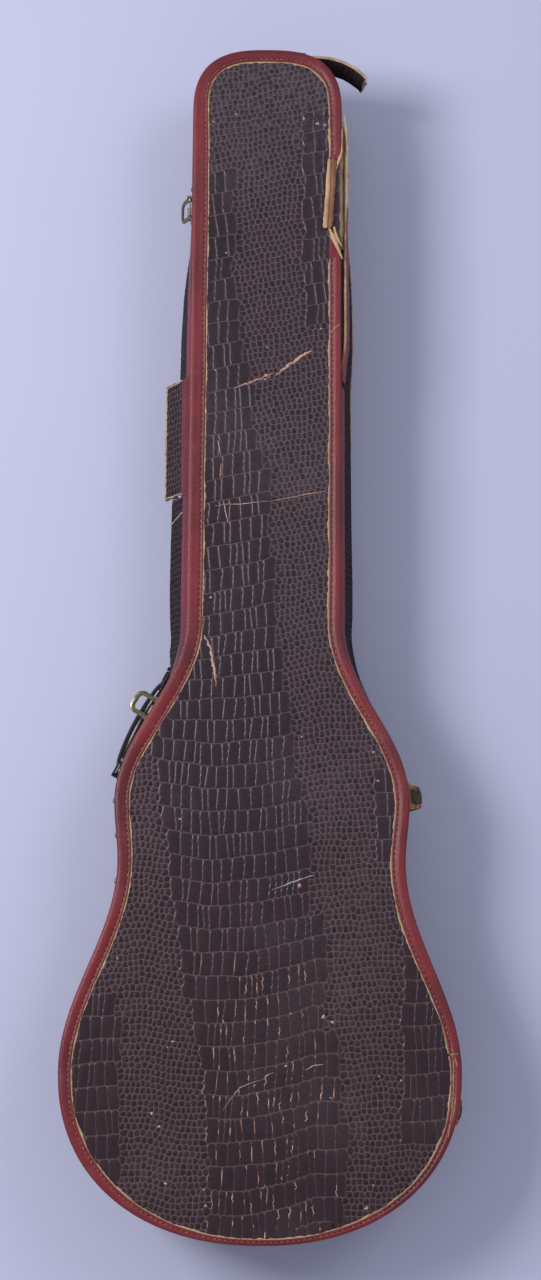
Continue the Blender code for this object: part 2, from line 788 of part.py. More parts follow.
def make_loop_side(name, place, loop_out):
    """The plate on the rim, and the flat loop that swings on its pin."""
    low = PLATE_ABOVE_EDGE
    middle = (PLATE / 2, 0.0, low + PLATE_HEIGHT / 2)
    plate = cube(f"{name}_loop_plate", (PLATE, PLATE_LENGTH, PLATE_HEIGHT), middle, PARTS, place)
    inner = LOOP_WIDTH / 2 + GAP
    pin_height = LOOP_ABOVE_EDGE
    lugs(f"{name}_loop_plate", plate, LOOP_OUT, pin_height, inner, place)
    finish(plate, LATCH_STEEL)
    spacing = PLATE_LENGTH - RIVET_EDGE * 2
    rivet_plate(f"{name}_loop", spacing, LOOP_RIVET_ABOVE_EDGE, place)
    pin_length = 2 * (inner + EAR)
    pin_place = (LOOP_OUT, 0.0, pin_height)
    pin = rod(f"{name}_loop_pin", PIN_RADIUS, pin_length, pin_place, parent=place)
    finish(pin, LATCH_STEEL, ROUND)

    half = LOOP_WIDTH / 2
    corner = LOOP_STRAP / 2
    outer = [
        (-half, 0.0),
        (-half, -LOOP_LENGTH + corner),
        (-half + corner, -LOOP_LENGTH),
        (half - corner, -LOOP_LENGTH),
        (half, -LOOP_LENGTH + corner),
        (half, 0.0),
    ]
    window_half = half - LOOP_STRAP
    window = [
        (-window_half, -BARREL_RADIUS - GAP),
        (window_half, -BARREL_RADIUS - GAP),
        (window_half, -LOOP_LENGTH + LOOP_STRAP),
        (-window_half, -LOOP_LENGTH + LOOP_STRAP),
    ]
    data = poly_curve(f"{name}_loop", [outer, window], True, LOOP_THICKNESS, fill=True)
    loop = as_mesh(new_object(data.name, data))
    upright = Matrix(((0, 0, 1, 0), (1, 0, 0, 0), (0, 1, 0, 0), (0, 0, 0, 1)))
    loop.data.transform(upright)
    loop.location = pin_place
    loop.rotation_euler = (0.0, -loop_out, 0.0)
    loop.parent = place
    join(loop, rod(f"{name}_loop_barrel", BARREL_RADIUS, LOOP_WIDTH, (0, 0, 0), CUTTERS, loop))
    bore(loop, f"{name}_loop_bore", PIN_BORE, LOOP_WIDTH, (0, 0, 0), loop)
    finish(loop, BRASS, ROUND)


def make_nose_side(name, place):
    """The plate on the tray, and the lever whose nose holds the loop down."""
    step_in = TRAY_INSET - RIM_INSET
    pivot_height = -NOSE_UNDER_EDGE - LEVER_LENGTH
    middle = (PLATE / 2, 0.0, -NOSE_UNDER_EDGE - NOSE_PLATE_HEIGHT / 2)
    size = (PLATE, NOSE_PLATE_LENGTH, NOSE_PLATE_HEIGHT)
    plate = cube(f"{name}_nose_plate", size, middle, PARTS, place)
    inner = NOSE_WIDTH / 2 + GAP
    pin_place = (LEVER_PIVOT_OUT, 0.0, pivot_height)
    lugs(f"{name}_nose_plate", plate, LEVER_PIVOT_OUT, pivot_height, inner, place)
    finish(plate, LATCH_STEEL)
    spacing = NOSE_PLATE_LENGTH - RIVET_EDGE * 2
    rivet_plate(f"{name}_nose", spacing, -NOSE_RIVET_UNDER_EDGE, place)
    pin = rod(f"{name}_nose_pin", PIN_RADIUS, 2 * (inner + EAR), pin_place, parent=place)
    finish(pin, LATCH_STEEL, ROUND)

    reach = step_in + LOOP_OUT + LOOP_THICKNESS / 2 + NOSE_REACH - LEVER_PIVOT_OUT
    side = [
        (LEVER / 2, 0.0),
        (LEVER / 2, LEVER_LENGTH - NOSE_THICKNESS - NOSE_SLOPE),
        (reach, LEVER_LENGTH - NOSE_THICKNESS),
        (reach, LEVER_LENGTH - NOSE_SLOPE),
        (LEVER / 2, LEVER_LENGTH),
        (-LEVER / 2, LEVER_LENGTH),
        (-LEVER / 2, 0.0),
    ]
    data = poly_curve(f"{name}_nose", [side], True, NOSE_WIDTH, fill=True)
    nose = as_mesh(new_object(data.name, data))
    upright = Matrix(((1, 0, 0, 0), (0, 0, -1, 0), (0, 1, 0, 0), (0, 0, 0, 1)))
    nose.data.transform(upright)
    nose.location = pin_place
    nose.parent = place
    join(nose, rod(f"{name}_nose_barrel", BARREL_RADIUS, NOSE_WIDTH, (0, 0, 0), CUTTERS, nose))
    bore(nose, f"{name}_nose_bore", PIN_BORE, NOSE_WIDTH, (0, 0, 0), nose)
    finish(nose, LATCH_STEEL, ROUND)


def make_handle():
    """A moulded grip between two pinned brackets on the latch-side wall of the tray."""
    ends = []
    for station in (HANDLE_HEAD_AT, HANDLE_TAIL_AT):
        wall, outwards = wall_at(station, LATCH_SIDE, TRAY_INSET)
        ends.append(wall + outwards * HANDLE_OUT)
    head, tail = ends
    along = (tail - head).normalized()
    outwards = Vector((along.y, -along.x))
    axis = empty("handle_axis", spot((head + tail) / 2, HANDLE_AXIS_HEIGHT), outwards)
    span = (tail - head).length / 2

    leg = span - HANDLE_BARREL / 2
    path = [(leg, 0.0, GRIP_END_RADIUS), (leg, -GRIP_LEG * HANDLE_BOW, GRIP_END_RADIUS)]
    path += [(leg * share, -HANDLE_BOW * bow, radius) for share, bow, radius in GRIP_LINE]
    path += [(-across, up, radius) for across, up, radius in reversed(path)]
    data = bpy.data.curves.new("handle_grip", "CURVE")
    data.dimensions = "3D"
    data.bevel_depth = GRIP_RADIUS
    data.bevel_resolution = 2
    data.use_fill_caps = True
    spline = data.splines.new("POLY")
    spline.points.add(len(path) - 1)
    for point, (across, up, radius) in zip(spline.points, path):
        point.co = (0.0, across, up, 1.0)
        point.radius = radius / GRIP_RADIUS
    grip = new_object("handle_grip", data)
    grip.parent = axis
    grip = as_mesh(grip)
    for name, way in (("grip_eye_head", -1), ("grip_eye_tail", 1)):
        place = (0.0, way * leg, 0.0)
        join(grip, rod(name, GRIP_END_RADIUS, HANDLE_BARREL, place, CUTTERS, axis))
    for name, way in (("grip_bore_head", -1), ("grip_bore_tail", 1)):
        place = (0.0, way * leg, 0.0)
        bore(grip, name, PIN_RADIUS + HANDLE_PIN_CLEARANCE, HANDLE_BARREL, place, axis)
    finish(grip, BLACK_LEATHER, ROUND)

    for end, station, way in (("head", HANDLE_HEAD_AT, -1), ("tail", HANDLE_TAIL_AT, 1)):
        make_handle_bracket(f"handle_bracket_{end}", station, way * span, axis)


def make_handle_bracket(name, station, along_axis, axis):
    """A plate on the wall with one ear outside the grip's end, and its pin into the grip."""
    start, outwards = seat(station, LATCH_SIDE, TRAY_INSET, BRACKET_WIDTH / 2)
    place = empty(f"{name}_place", spot(start, HANDLE_AXIS_HEIGHT), outwards)
    size = (PLATE, BRACKET_WIDTH, BRACKET_HEIGHT)
    plate = cube(name, size, (PLATE / 2, 0.0, 0.0), PARTS, place)
    way = math.copysign(1, along_axis)
    middle_of_plate = spot(start + outwards * PLATE / 2, HANDLE_AXIS_HEIGHT)
    foot = (axis.matrix_world.inverted() @ middle_of_plate).x
    size = (GRIP_END_RADIUS - foot, BRACKET_EAR, BRACKET_EAR_HEIGHT)
    middle = ((GRIP_END_RADIUS + foot) / 2, along_axis + way * (GAP + BRACKET_EAR / 2), 0.0)
    join(plate, cube(f"{name}_ear", size, middle, CUTTERS, axis))
    finish(plate, LATCH_STEEL)
    length = BRACKET_EAR + HANDLE_PIN_REACH
    pin_place = (0.0, along_axis + way * (GAP + BRACKET_EAR - length / 2), 0.0)
    join(plate, rod(f"{name}_pin", PIN_RADIUS, length, pin_place, CUTTERS, axis))
    for number, up in enumerate((-BRACKET_RIVET_UP, BRACKET_RIVET_UP)):
        middle = (PLATE + GAP, -way * BRACKET_RIVET_ALONG, up)
        rivet_name = f"{name}_rivet_{number + 1}"
        rivet = dome(rivet_name, BRACKET_RIVET_RADIUS, RIVET_HEIGHT, middle, place)
        finish(rivet, LATCH_STEEL, ROUND)


def room_half(low, high):
    """Half the clear width between the wall linings over a stretch of stations."""
    ends = [wall_at(station, HINGE_SIDE, ROOM_INSET)[0].x for station in (low, high)]
    return min(ends) - GAP


def make_inside():
    """A box for strings and picks under the neck, and the notched block that the neck lies in."""
    half = room_half(COMPARTMENT_FROM, COMPARTMENT_TO)
    base = FLOOR + GAP
    low = COMPARTMENT_FROM - LENGTH / 2
    high = COMPARTMENT_TO - LENGTH / 2
    for name, middle in (
        ("compartment_wall_tail", low + BULKHEAD / 2),
        ("compartment_wall_head", high - BULKHEAD / 2),
    ):
        size = (2 * half, BULKHEAD, COMPARTMENT_HEIGHT)
        wall = cube(name, size, (0.0, middle, base + COMPARTMENT_HEIGHT / 2))
        finish(wall, PLUSH)

    hinge_x = half - COMPARTMENT_HINGE_ROOM
    under = base + COMPARTMENT_HEIGHT + GAP
    axis = empty("compartment_axis", (hinge_x, (low + high) / 2, under + COMPARTMENT_LID))
    width = hinge_x + half
    size = (width, high - low, COMPARTMENT_LID)
    lid = cube("compartment_lid", size, (-width / 2, 0.0, -COMPARTMENT_LID / 2), PARTS, axis)
    finish(lid, PLUSH)
    tab = cube(
        "compartment_pull_tab",
        (TAB_LENGTH, TAB_WIDTH, TAB),
        (-width + TAB_FROM_EDGE + TAB_LENGTH / 2, 0.0, GAP + TAB / 2),
        PARTS,
        axis,
    )
    finish(tab, LEATHER)
    size = (HINGE_CLOTH, high - low - 2 * HINGE_CLOTH_SHORT, HINGE_CLOTH_HEIGHT)
    middle = (
        half - HINGE_CLOTH / 2,
        (low + high) / 2,
        under + COMPARTMENT_LID + HINGE_CLOTH_HEIGHT / 2,
    )
    finish(cube("compartment_hinge_cloth", size, middle), PLUSH)

    low = CRADLE_AT - CRADLE_LENGTH / 2
    high = CRADLE_AT + CRADLE_LENGTH / 2
    half = room_half(low, high)
    outline = [(-half, 0.0), (half, 0.0), (half, CRADLE_HEIGHT), (NOTCH_HALF, CRADLE_HEIGHT)]
    straight = CRADLE_HEIGHT - NOTCH_DEPTH + NOTCH_ROUND
    for step in range(NOTCH_STEPS + 1):
        turn = math.pi * step / NOTCH_STEPS
        outline.append((NOTCH_HALF * math.cos(turn), straight - NOTCH_ROUND * math.sin(turn)))
    outline += [(-NOTCH_HALF, CRADLE_HEIGHT), (-half, CRADLE_HEIGHT)]
    data = poly_curve("neck_cradle", [outline], True, CRADLE_LENGTH, fill=True)
    cradle = new_object("neck_cradle", data)
    cradle.rotation_euler.x = math.pi / 2
    cradle.location = (0.0, CRADLE_AT - LENGTH / 2, base)
    finish(as_mesh(cradle), PLUSH)


def attach_lid(axis):
    """Hang the lid's boards, lining and binding on the hinge line."""
    names = (
        "lid_panel",
        "rim_strip_latch_side",
        "rim_strip_hinge_side",
        "rim_strip_head",
        "lid_liner_band",
        "lid_lining",
        "lid_binding",
    )
    for name in names:
        keep_place(bpy.data.objects[name], axis)


def main():
    start, outwards = hinge_line()
    lid_axis = empty("lid_axis", spot(start, HINGE_HEIGHT), outwards)
    make_tray()
    make_tray_lining()
    make_lid()
    attach_lid(lid_axis)
    make_hinge_strap("hinge_strap_upper", UPPER_STRAP_AT, UPPER_STRAP_BULGE, lid_axis)
    make_hinge_strap("hinge_strap_lower", LOWER_STRAP_AT, HINGE_OUT - 2 * GAP, lid_axis)
    make_latch("head_latch", HEAD_LATCH_AT, HEAD_LOOP_OUT, lid_axis)
    make_latch("shoulder_latch", SHOULDER_LATCH_AT, SHOULDER_LOOP_OUT, lid_axis)
    make_handle()
    make_inside()


main()
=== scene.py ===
"""The looks of an electric guitar case of crocodile-embossed board, fitted to its CAD solids.

Metres, in the frame's own axes: +Y towards the head end, +X towards the hinge side, +Z out of the lid.
A station is the distance from the tail end.
"""
import math
import random

import bmesh
import bpy
from mathutils import Matrix, Vector, kdtree, noise
from mathutils.geometry import delaunay_2d_cdt


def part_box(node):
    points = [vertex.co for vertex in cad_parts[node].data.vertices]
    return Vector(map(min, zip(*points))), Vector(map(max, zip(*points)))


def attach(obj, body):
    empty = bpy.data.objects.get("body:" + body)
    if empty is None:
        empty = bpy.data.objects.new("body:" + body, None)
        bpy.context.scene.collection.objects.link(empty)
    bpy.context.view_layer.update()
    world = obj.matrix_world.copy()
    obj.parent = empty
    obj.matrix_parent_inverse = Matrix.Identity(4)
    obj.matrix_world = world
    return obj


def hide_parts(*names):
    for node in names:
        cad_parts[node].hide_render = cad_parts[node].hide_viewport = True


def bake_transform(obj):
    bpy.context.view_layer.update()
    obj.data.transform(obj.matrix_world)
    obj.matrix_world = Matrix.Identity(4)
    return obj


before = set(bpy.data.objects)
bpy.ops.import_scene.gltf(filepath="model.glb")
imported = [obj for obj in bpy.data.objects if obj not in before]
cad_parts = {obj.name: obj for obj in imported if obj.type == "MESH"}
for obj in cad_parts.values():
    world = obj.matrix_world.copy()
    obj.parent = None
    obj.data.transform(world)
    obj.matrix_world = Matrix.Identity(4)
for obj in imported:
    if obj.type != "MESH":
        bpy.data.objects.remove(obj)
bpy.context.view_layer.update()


# Back panel
# A sheet of pressed board, cut to the guitar's outline and rolled with a crocodile pattern.
# It lies inside the two bent walls, which are stitched to it through the binding.

edge_low, edge_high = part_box("lid_binding")
LENGTH = edge_high.y - edge_low.y
LID_TOP = edge_high.z
LOWER_BOUT_HALF = edge_high.x
NECK_HALF = 0.0675
NECK_TOP_HALF = 0.0665
UPPER_BOUT_HALF = 0.1270
WAIST_HALF = 0.1235
LOWER_BOUT_AT = 0.144
WAIST_AT = 0.322
UPPER_BOUT_AT = 0.374
NECK_FOOT_AT = 0.530
HEAD_ROUND = 0.062
HEAD_POWER = 2.8
TAIL_POWER = 2.2
CURVE_STEPS = 60
EDGE_SPACING = 0.004


def smoothly(share):
    """0 to 1, easing in and out."""
    share = min(1.0, max(0.0, share))
    return share * share * (3 - 2 * share)


def wave(start, end, share):
    """From start to end along half a wave, level at both."""
    return start + (end - start) * (1 - math.cos(math.pi * share)) / 2


def half_outline():
    """The hinge-side half of the case's outline from tail to head."""
    steps = [step / CURVE_STEPS for step in range(CURVE_STEPS)]
    points = []
    for share in steps:
        turn = math.pi / 2 * share
        across = LOWER_BOUT_HALF * math.sin(turn) ** (2 / TAIL_POWER)
        points.append((across, LOWER_BOUT_AT * (1 - math.cos(turn) ** (2 / TAIL_POWER))))
    stretches = (
        (LOWER_BOUT_AT, LOWER_BOUT_HALF, WAIST_AT, WAIST_HALF),
        (WAIST_AT, WAIST_HALF, UPPER_BOUT_AT, UPPER_BOUT_HALF),
        (UPPER_BOUT_AT, UPPER_BOUT_HALF, NECK_FOOT_AT, NECK_HALF),
    )
    for low, low_half, high, high_half in stretches:
        points += [(wave(low_half, high_half, share), low + (high - low) * share) for share in steps]
    head_from = LENGTH - HEAD_ROUND
    for share in steps:
        across = NECK_HALF + (NECK_TOP_HALF - NECK_HALF) * share
        points.append((across, NECK_FOOT_AT + (head_from - NECK_FOOT_AT) * share))
    for share in [*steps, 1.0]:
        turn = math.pi / 2 * share
        across = NECK_TOP_HALF * max(0.0, math.cos(turn)) ** (2 / HEAD_POWER)
        points.append((across, head_from + HEAD_ROUND * math.sin(turn) ** (2 / HEAD_POWER)))
    return [Vector((across, along - LENGTH / 2)) for across, along in points]


def walk_outline(spacing):
    """Evenly spaced places round the outline, anticlockwise from the tail, with outward normals."""
    half = half_outline()
    loop = half + [Vector((-point.x, point.y)) for point in reversed(half[1:-1])]
    loop.append(loop[0])
    reach = [0.0]
    for first, second in zip(loop, loop[1:]):
        reach.append(reach[-1] + (second - first).length)
    count = round(reach[-1] / spacing)
    places = []
    index = 0
    for number in range(count):
        wanted = reach[-1] * number / count
        while reach[index + 1] < wanted:
            index += 1
        share = (wanted - reach[index]) / max(reach[index + 1] - reach[index], 1e-9)
        places.append(loop[index].lerp(loop[index + 1], share))
    normals = []
    for number, place in enumerate(places):
        along = places[(number + 1) % count] - places[number - 1]
        normals.append(Vector((along.y, -along.x)).normalized())
    return places, normals, reach[-1]


EDGE, EDGE_OUT, ROUND_LENGTH = walk_outline(EDGE_SPACING)
EDGE_STEP = ROUND_LENGTH / len(EDGE)


def edge_at(distance):
    """The outline's point and outward normal at a distance round it from the tail."""
    index = distance / EDGE_STEP
    first = math.floor(index)
    share = index - first
    first %= len(EDGE)
    second = (first + 1) % len(EDGE)
    return EDGE[first].lerp(EDGE[second], share), EDGE_OUT[first].lerp(EDGE_OUT[second], share).normalized()


def distance_of(station, side):
    """How far round the outline the given side is at a station, side 1 being the hinge side."""
    half = len(EDGE) // 2
    for number in range(half):
        low, high = EDGE[number].y, EDGE[number + 1].y
        if low <= station - LENGTH / 2 <= high:
            reach = (number + (station - LENGTH / 2 - low) / (high - low)) * EDGE_STEP
            return reach if side > 0 else ROUND_LENGTH - reach
    raise ValueError(f"no outline at station {station}")


class Shade:
    """A socket of a material's nodes. Sums and products of values add Math nodes."""

    def __init__(self, tree, socket):
        self.tree = tree
        self.socket = socket

    def node(self, kind, settings=(), inputs=(), out=0):
        made = self.tree.nodes.new(f"ShaderNode{kind}")
        for name, value in dict(settings).items():
            if name == "stops":
                ramp = made.color_ramp
                ramp.elements.remove(ramp.elements[0])
                ramp.elements[0].position = value[0][0]
                ramp.elements[0].color = (*value[0][1], 1.0)
                for place, colour in value[1:]:
                    ramp.elements.new(place).color = (*colour, 1.0)
            else:
                setattr(made, name, value)
        for key, value in dict(inputs).items():
            if isinstance(value, Shade):
                self.tree.links.new(value.socket, made.inputs[key])
            else:
                made.inputs[key].default_value = value
        return Shade(self.tree, made.outputs[out])

    def math(self, operation, *values):
        return self.node("Math", {"operation": operation}, dict(enumerate(values)))

    def __add__(self, other):
        return self.math("ADD", self, other)

    def __sub__(self, other):
        return self.math("SUBTRACT", self, other)

    def __rsub__(self, other):
        return self.math("SUBTRACT", other, self)

    def __mul__(self, other):
        return self.math("MULTIPLY", self, other)

    __radd__ = __add__
    __rmul__ = __mul__

    def rise(self, low, high):
        """0 below low and 1 above high, easing between them."""
        settings = {"interpolation_type": "SMOOTHSTEP"}
        return self.node("MapRange", settings, {0: self, 1: low, 2: high})

    def blend(self, first, second):
        """The first colour where this value is 0 and the second where it is 1."""
        ends = [(*colour, 1.0) if isinstance(colour, tuple) else colour for colour in (first, second)]
        return self.node("Mix", {"data_type": "RGBA"}, {0: self, 6: ends[0], 7: ends[1]}, 2)

    def times(self, scale):
        """This vector with each part multiplied by its own number."""
        return self.node("VectorMath", {"operation": "MULTIPLY"}, {0: self, 1: scale})

    def grain(self, scale, detail=2.0, roughness=0.5):
        """Even noise from 0 to 1 on these coordinates."""
        settings = {"noise_dimensions": "3D"}
        inputs = {"Vector": self, "Scale": scale, "Detail": detail, "Roughness": roughness}
        return self.node("TexNoise", settings, inputs)

    def part(self, name):
        return self.node("SeparateXYZ", (), {0: self}, name)


def finish_of(name):
    """A new material: itself, its shader node and its object coordinates."""
    made = bpy.data.materials.new(name)
    made.use_nodes = True
    tree = made.node_tree
    shader = tree.nodes["Principled BSDF"]
    coordinates = tree.nodes.new("ShaderNodeTexCoord")
    return made, shader, Shade(tree, coordinates.outputs["Object"])


def lead(shade, shader, name):
    shade.tree.links.new(shade.socket, shader.inputs[name])


def relief(shade, shader, distance, strength=1.0):
    """Lead a height from 0 to 1 into the shader's normal, with the real height of 1 in metres."""
    bump = shade.node("Bump", (), {"Height": shade, "Distance": distance, "Strength": strength})
    lead(bump, shader, "Normal")


EMBOSS_TOP = (0.0245, 0.0131, 0.0186)
EMBOSS_TOP_LOW = (0.0258, 0.0116, 0.0143)
EMBOSS_GROOVE = (0.091, 0.061, 0.067)
EMBOSS_GROOVE_LOW = (0.092, 0.055, 0.052)
EMBOSS_SCUFF = (0.150, 0.120, 0.125)
# A bluish painted sheen: the reflection of a pale light, painted into the lacquer's colour.
EMBOSS_PAINTED_SHEEN = (0.050, 0.052, 0.086)
EMBOSS_DARK = (0.008, 0.005, 0.007)


def embossed_finish(name, shine, darkening):
    """Brown lacquer over embossed paper: dark and glossy on the scales, dull and paler between them.

    The mesh carries how raised each place is, and how dark its scale is.
    """
    made, shader, place = finish_of(name)
    raised = place.node("Attribute", {"attribute_name": "raised"}, out="Fac")
    tone = place.node("Attribute", {"attribute_name": "tone"}, out="Fac")
    low = place.part("Y").rise(0.05, -0.40)
    cloud = place.grain(9.0, 3.0)
    colour = raised.rise(0.05, 0.85).blend(
        low.blend(EMBOSS_GROOVE, EMBOSS_GROOVE_LOW), low.blend(EMBOSS_TOP, EMBOSS_TOP_LOW)
    )
    colour = (cloud.rise(0.45, 0.75) * 0.12).blend(colour, EMBOSS_SCUFF)
    # Towards the head the lacquer has a real coat of shine, and the same mask paints a bluish sheen into its
    # colour.
    polish_and_painted_sheen = place.part("Y").rise(0.36, 0.50) * place.grain(190.0, 4.0, 0.7).rise(0.40, 0.62)
    colour = (polish_and_painted_sheen * (raised * 0.6 + 0.4) * shine).blend(colour, EMBOSS_PAINTED_SHEEN)
    mottle = place.grain(310.0, 4.0, 0.7).rise(0.42, 0.66)
    # The darkening argument paints shade evenly over the whole board: 0 for the panels and the flap, more for
    # the walls and rim strips.
    lead((tone * raised * 0.8 + mottle * 0.35 + darkening).blend(colour, EMBOSS_DARK), shader, "Base Color")
    lead((0.80 - 0.5 * shine) - raised.rise(0.05, 0.50) * shine + cloud * 0.10, shader, "Roughness")
    shader.inputs["Specular IOR Level"].default_value = shine
    shader.inputs["Specular Tint"].default_value = (1.0, 0.88, 1.0, 1.0)
    shader.inputs["Coat Roughness"].default_value = 0.28
    lead(polish_and_painted_sheen * shine * 2.2, shader, "Coat Weight")
    relief(place.grain(750.0), shader, 0.0002, 0.7)
    return made


RAW_TAN = (0.430, 0.330, 0.230)
RAW_BROWN = (0.230, 0.130, 0.075)


def raw_finish(name, light, dark):
    """Torn board: pale fibres of pulp with darker soiled streaks."""
    made, shader, place = finish_of(name)
    fibre = place.times((1.0, 0.3, 2.0)).grain(420.0, 4.0, 0.7)
    soil = place.grain(60.0, 3.0)
    lead((fibre.rise(0.3, 0.75) * 0.5 + soil.rise(0.45, 0.7) * 0.5).blend(light, dark), shader, "Base Color")
    shader.inputs["Roughness"].default_value = 0.9
    relief(fibre, shader, 0.0004)
    return made


ROW_PITCH = 0.0200
BIG_STEPS = 3
PEBBLE_HEIGHT = 0.0053
PEBBLE_PITCH = 0.0046
PEBBLE_JITTER = 0.0010
BIG_WIDTHS = (0.0074, 0.0112)
NARROW_WIDTHS = (0.0044, 0.0060)
NARROW_SHARE = 0.30
BIG_COLUMN = 0.0046
BIG_LEAN = 0.16
BIG_HEIGHT = 0.013
ROW_GROOVE = 0.0003
SIDE_GROOVE = 0.0002
EDGE_JITTER = 0.00014
SCALE_RELIEF = 0.00034
GROOVE_HALF = 0.00050
PEBBLE_GROOVE = 0.00022
CORNER_ROUNDING = 0.55
EDGE_ROUND = 0.00055
NARROWEST = 0.00055
LONGEST_STEP = 0.0014
BOARD_WARP = 0.00012
BIG_TONE = 0.20
BIG_TONE_SPREAD = 0.32
SNAP_REACH = 0.012
LONGEST_EDGE = 0.0030
SEED_MARGIN = 0.02
SKIN_MARGIN = 0.0018


def scale_seeds(low, high, is_big, rise, chance):
    """Places of the scales over a sheet: big ones in rows where is_big says so, pebbles elsewhere.

    Each big scale is several places with one number, so that its cells join to a rectangle.
    """
    seeds = []
    group = 0
    left, right = low[0] - SEED_MARGIN, high[0] + SEED_MARGIN
    taken = {}
    for row in range(math.floor(low[1] / ROW_PITCH) - 2, math.ceil(high[1] / ROW_PITCH) + 2):
        foot = row * ROW_PITCH
        taken[row] = []
        x = left + chance.uniform(0, 0.004)
        while x < right:
            width = chance.uniform(*(NARROW_WIDTHS if chance.random() < NARROW_SHARE else BIG_WIDTHS))
            middle = x + width / 2
            if not is_big(middle, foot + ROW_PITCH / 2 + rise(middle, foot)):
                x += 0.0030
                continue
            group += 1
            lean = chance.uniform(-BIG_LEAN, BIG_LEAN)
            columns = max(1, round(width / BIG_COLUMN))
            for column in range(columns):
                across = x + width * (column + 0.5) / columns
                for step in range(BIG_STEPS):
                    up = ROW_PITCH * (step + 0.5) / BIG_STEPS
                    place = across + lean * (up - ROW_PITCH / 2)
                    seeds.append((place, foot + up + rise(across, foot), group))
            taken[row].append((x - PEBBLE_PITCH * 0.4, x + width + PEBBLE_PITCH * 0.4))
            x += width
    level = (min(taken) + 0.1) * ROW_PITCH
    while level < (max(taken) + 1) * ROW_PITCH:
        x = left + chance.uniform(0, PEBBLE_PITCH)
        while x < right:
            up = level + chance.uniform(-PEBBLE_JITTER, PEBBLE_JITTER)
            row = math.floor(up / ROW_PITCH)
            if not any(start < x < end for start, end in taken.get(row, ())):
                seeds.append((x, up + rise(x, row * ROW_PITCH), 0))
            x += PEBBLE_PITCH * chance.uniform(0.80, 1.25)
        level += PEBBLE_HEIGHT
    return seeds


def circle_centre(p, q, r):
    """The centre of the circle through three points."""
    twice = 2 * (p.x * (q.y - r.y) + q.x * (r.y - p.y) + r.x * (p.y - q.y))
    if abs(twice) < 1e-12:
        return (p + q + r) / 3
    ux = (p.dot(p) * (q.y - r.y) + q.dot(q) * (r.y - p.y) + r.dot(r) * (p.y - q.y)) / twice
    uy = (p.dot(p) * (r.x - q.x) + q.dot(q) * (p.x - r.x) + r.dot(r) * (q.x - p.x)) / twice
    return Vector((ux, uy))


def joined_cells(seeds):
    """The outlines of the cells round the places, those of one number joined, with shared corners."""
    flat = [Vector((x, y)) for x, y, _ in seeds]
    points, _, triangles, sources, _, _ = delaunay_2d_cdt(flat, [], [], 0, 1e-7)
    corners = [circle_centre(*(points[corner] for corner in triangle)) for triangle in triangles]
    wheels = {}
    for number, (a, b, c) in enumerate(triangles):
        for hub, start, end in ((a, b, c), (b, c, a), (c, a, b)):
            wheels.setdefault(hub, {})[start] = (number, end)
    cells = {}
    for hub, wheel in wheels.items():
        start = min(wheel)
        around = []
        spoke = start
        while spoke in wheel:
            number, spoke = wheel[spoke]
            around.append(number)
            if spoke == start:
                break
        if spoke != start:
            continue
        seed = sources[hub][0]
        sides = cells.setdefault(seeds[seed][2] or -1 - seed, set())
        for side in zip(around, around[1:] + around[:1]):
            if side[::-1] in sides:
                sides.remove(side[::-1])
            else:
                sides.add(side)
    return corners, [loop for sides in cells.values() for loop in closed_loops(sides, corners)]


def closed_loops(sides, corners):
    """The anticlockwise loops that a set of directed sides makes."""
    after = {}
    for first, second in sorted(sides):
        after.setdefault(first, []).append(second)
    loops = []
    while after:
        walk = [min(after)]
        while walk[-1] in after:
            ends = after[walk[-1]]
            step = ends.pop()
            if not ends:
                del after[walk[-1]]
            if step not in walk:
                walk.append(step)
                continue
            loop = walk[walk.index(step):]
            del walk[walk.index(step) + 1:]
            round_loop = zip(loop, loop[1:] + loop[:1])
            area = sum(corners[a].x * corners[b].y - corners[b].x * corners[a].y for a, b in round_loop)
            if len(loop) > 2 and area > 0:
                loops.append(loop)
    return loops


def flat_skin(seeds, wanted):
    """A flat net of the cells whose middle is wanted, with long edges cut up."""
    corners, loops = joined_cells(seeds)
    form = bmesh.new()
    shared = {}
    for loop in loops:
        centre = sum((corners[number] for number in loop), Vector((0, 0))) / len(loop)
        if not wanted(centre):
            continue
        for number in loop:
            if number not in shared:
                shared[number] = form.verts.new((*corners[number], 0))
        form.faces.new([shared[number] for number in loop])
    bmesh.ops.remove_doubles(form, verts=form.verts, dist=GROOVE_HALF)
    by_cuts = {}
    for edge in form.edges:
        by_cuts.setdefault(int(edge.calc_length() / LONGEST_EDGE), []).append(edge)
    for cuts, edges in by_cuts.items():
        if cuts:
            bmesh.ops.bisect_edges(form, edges=edges, cuts=cuts)
    return form


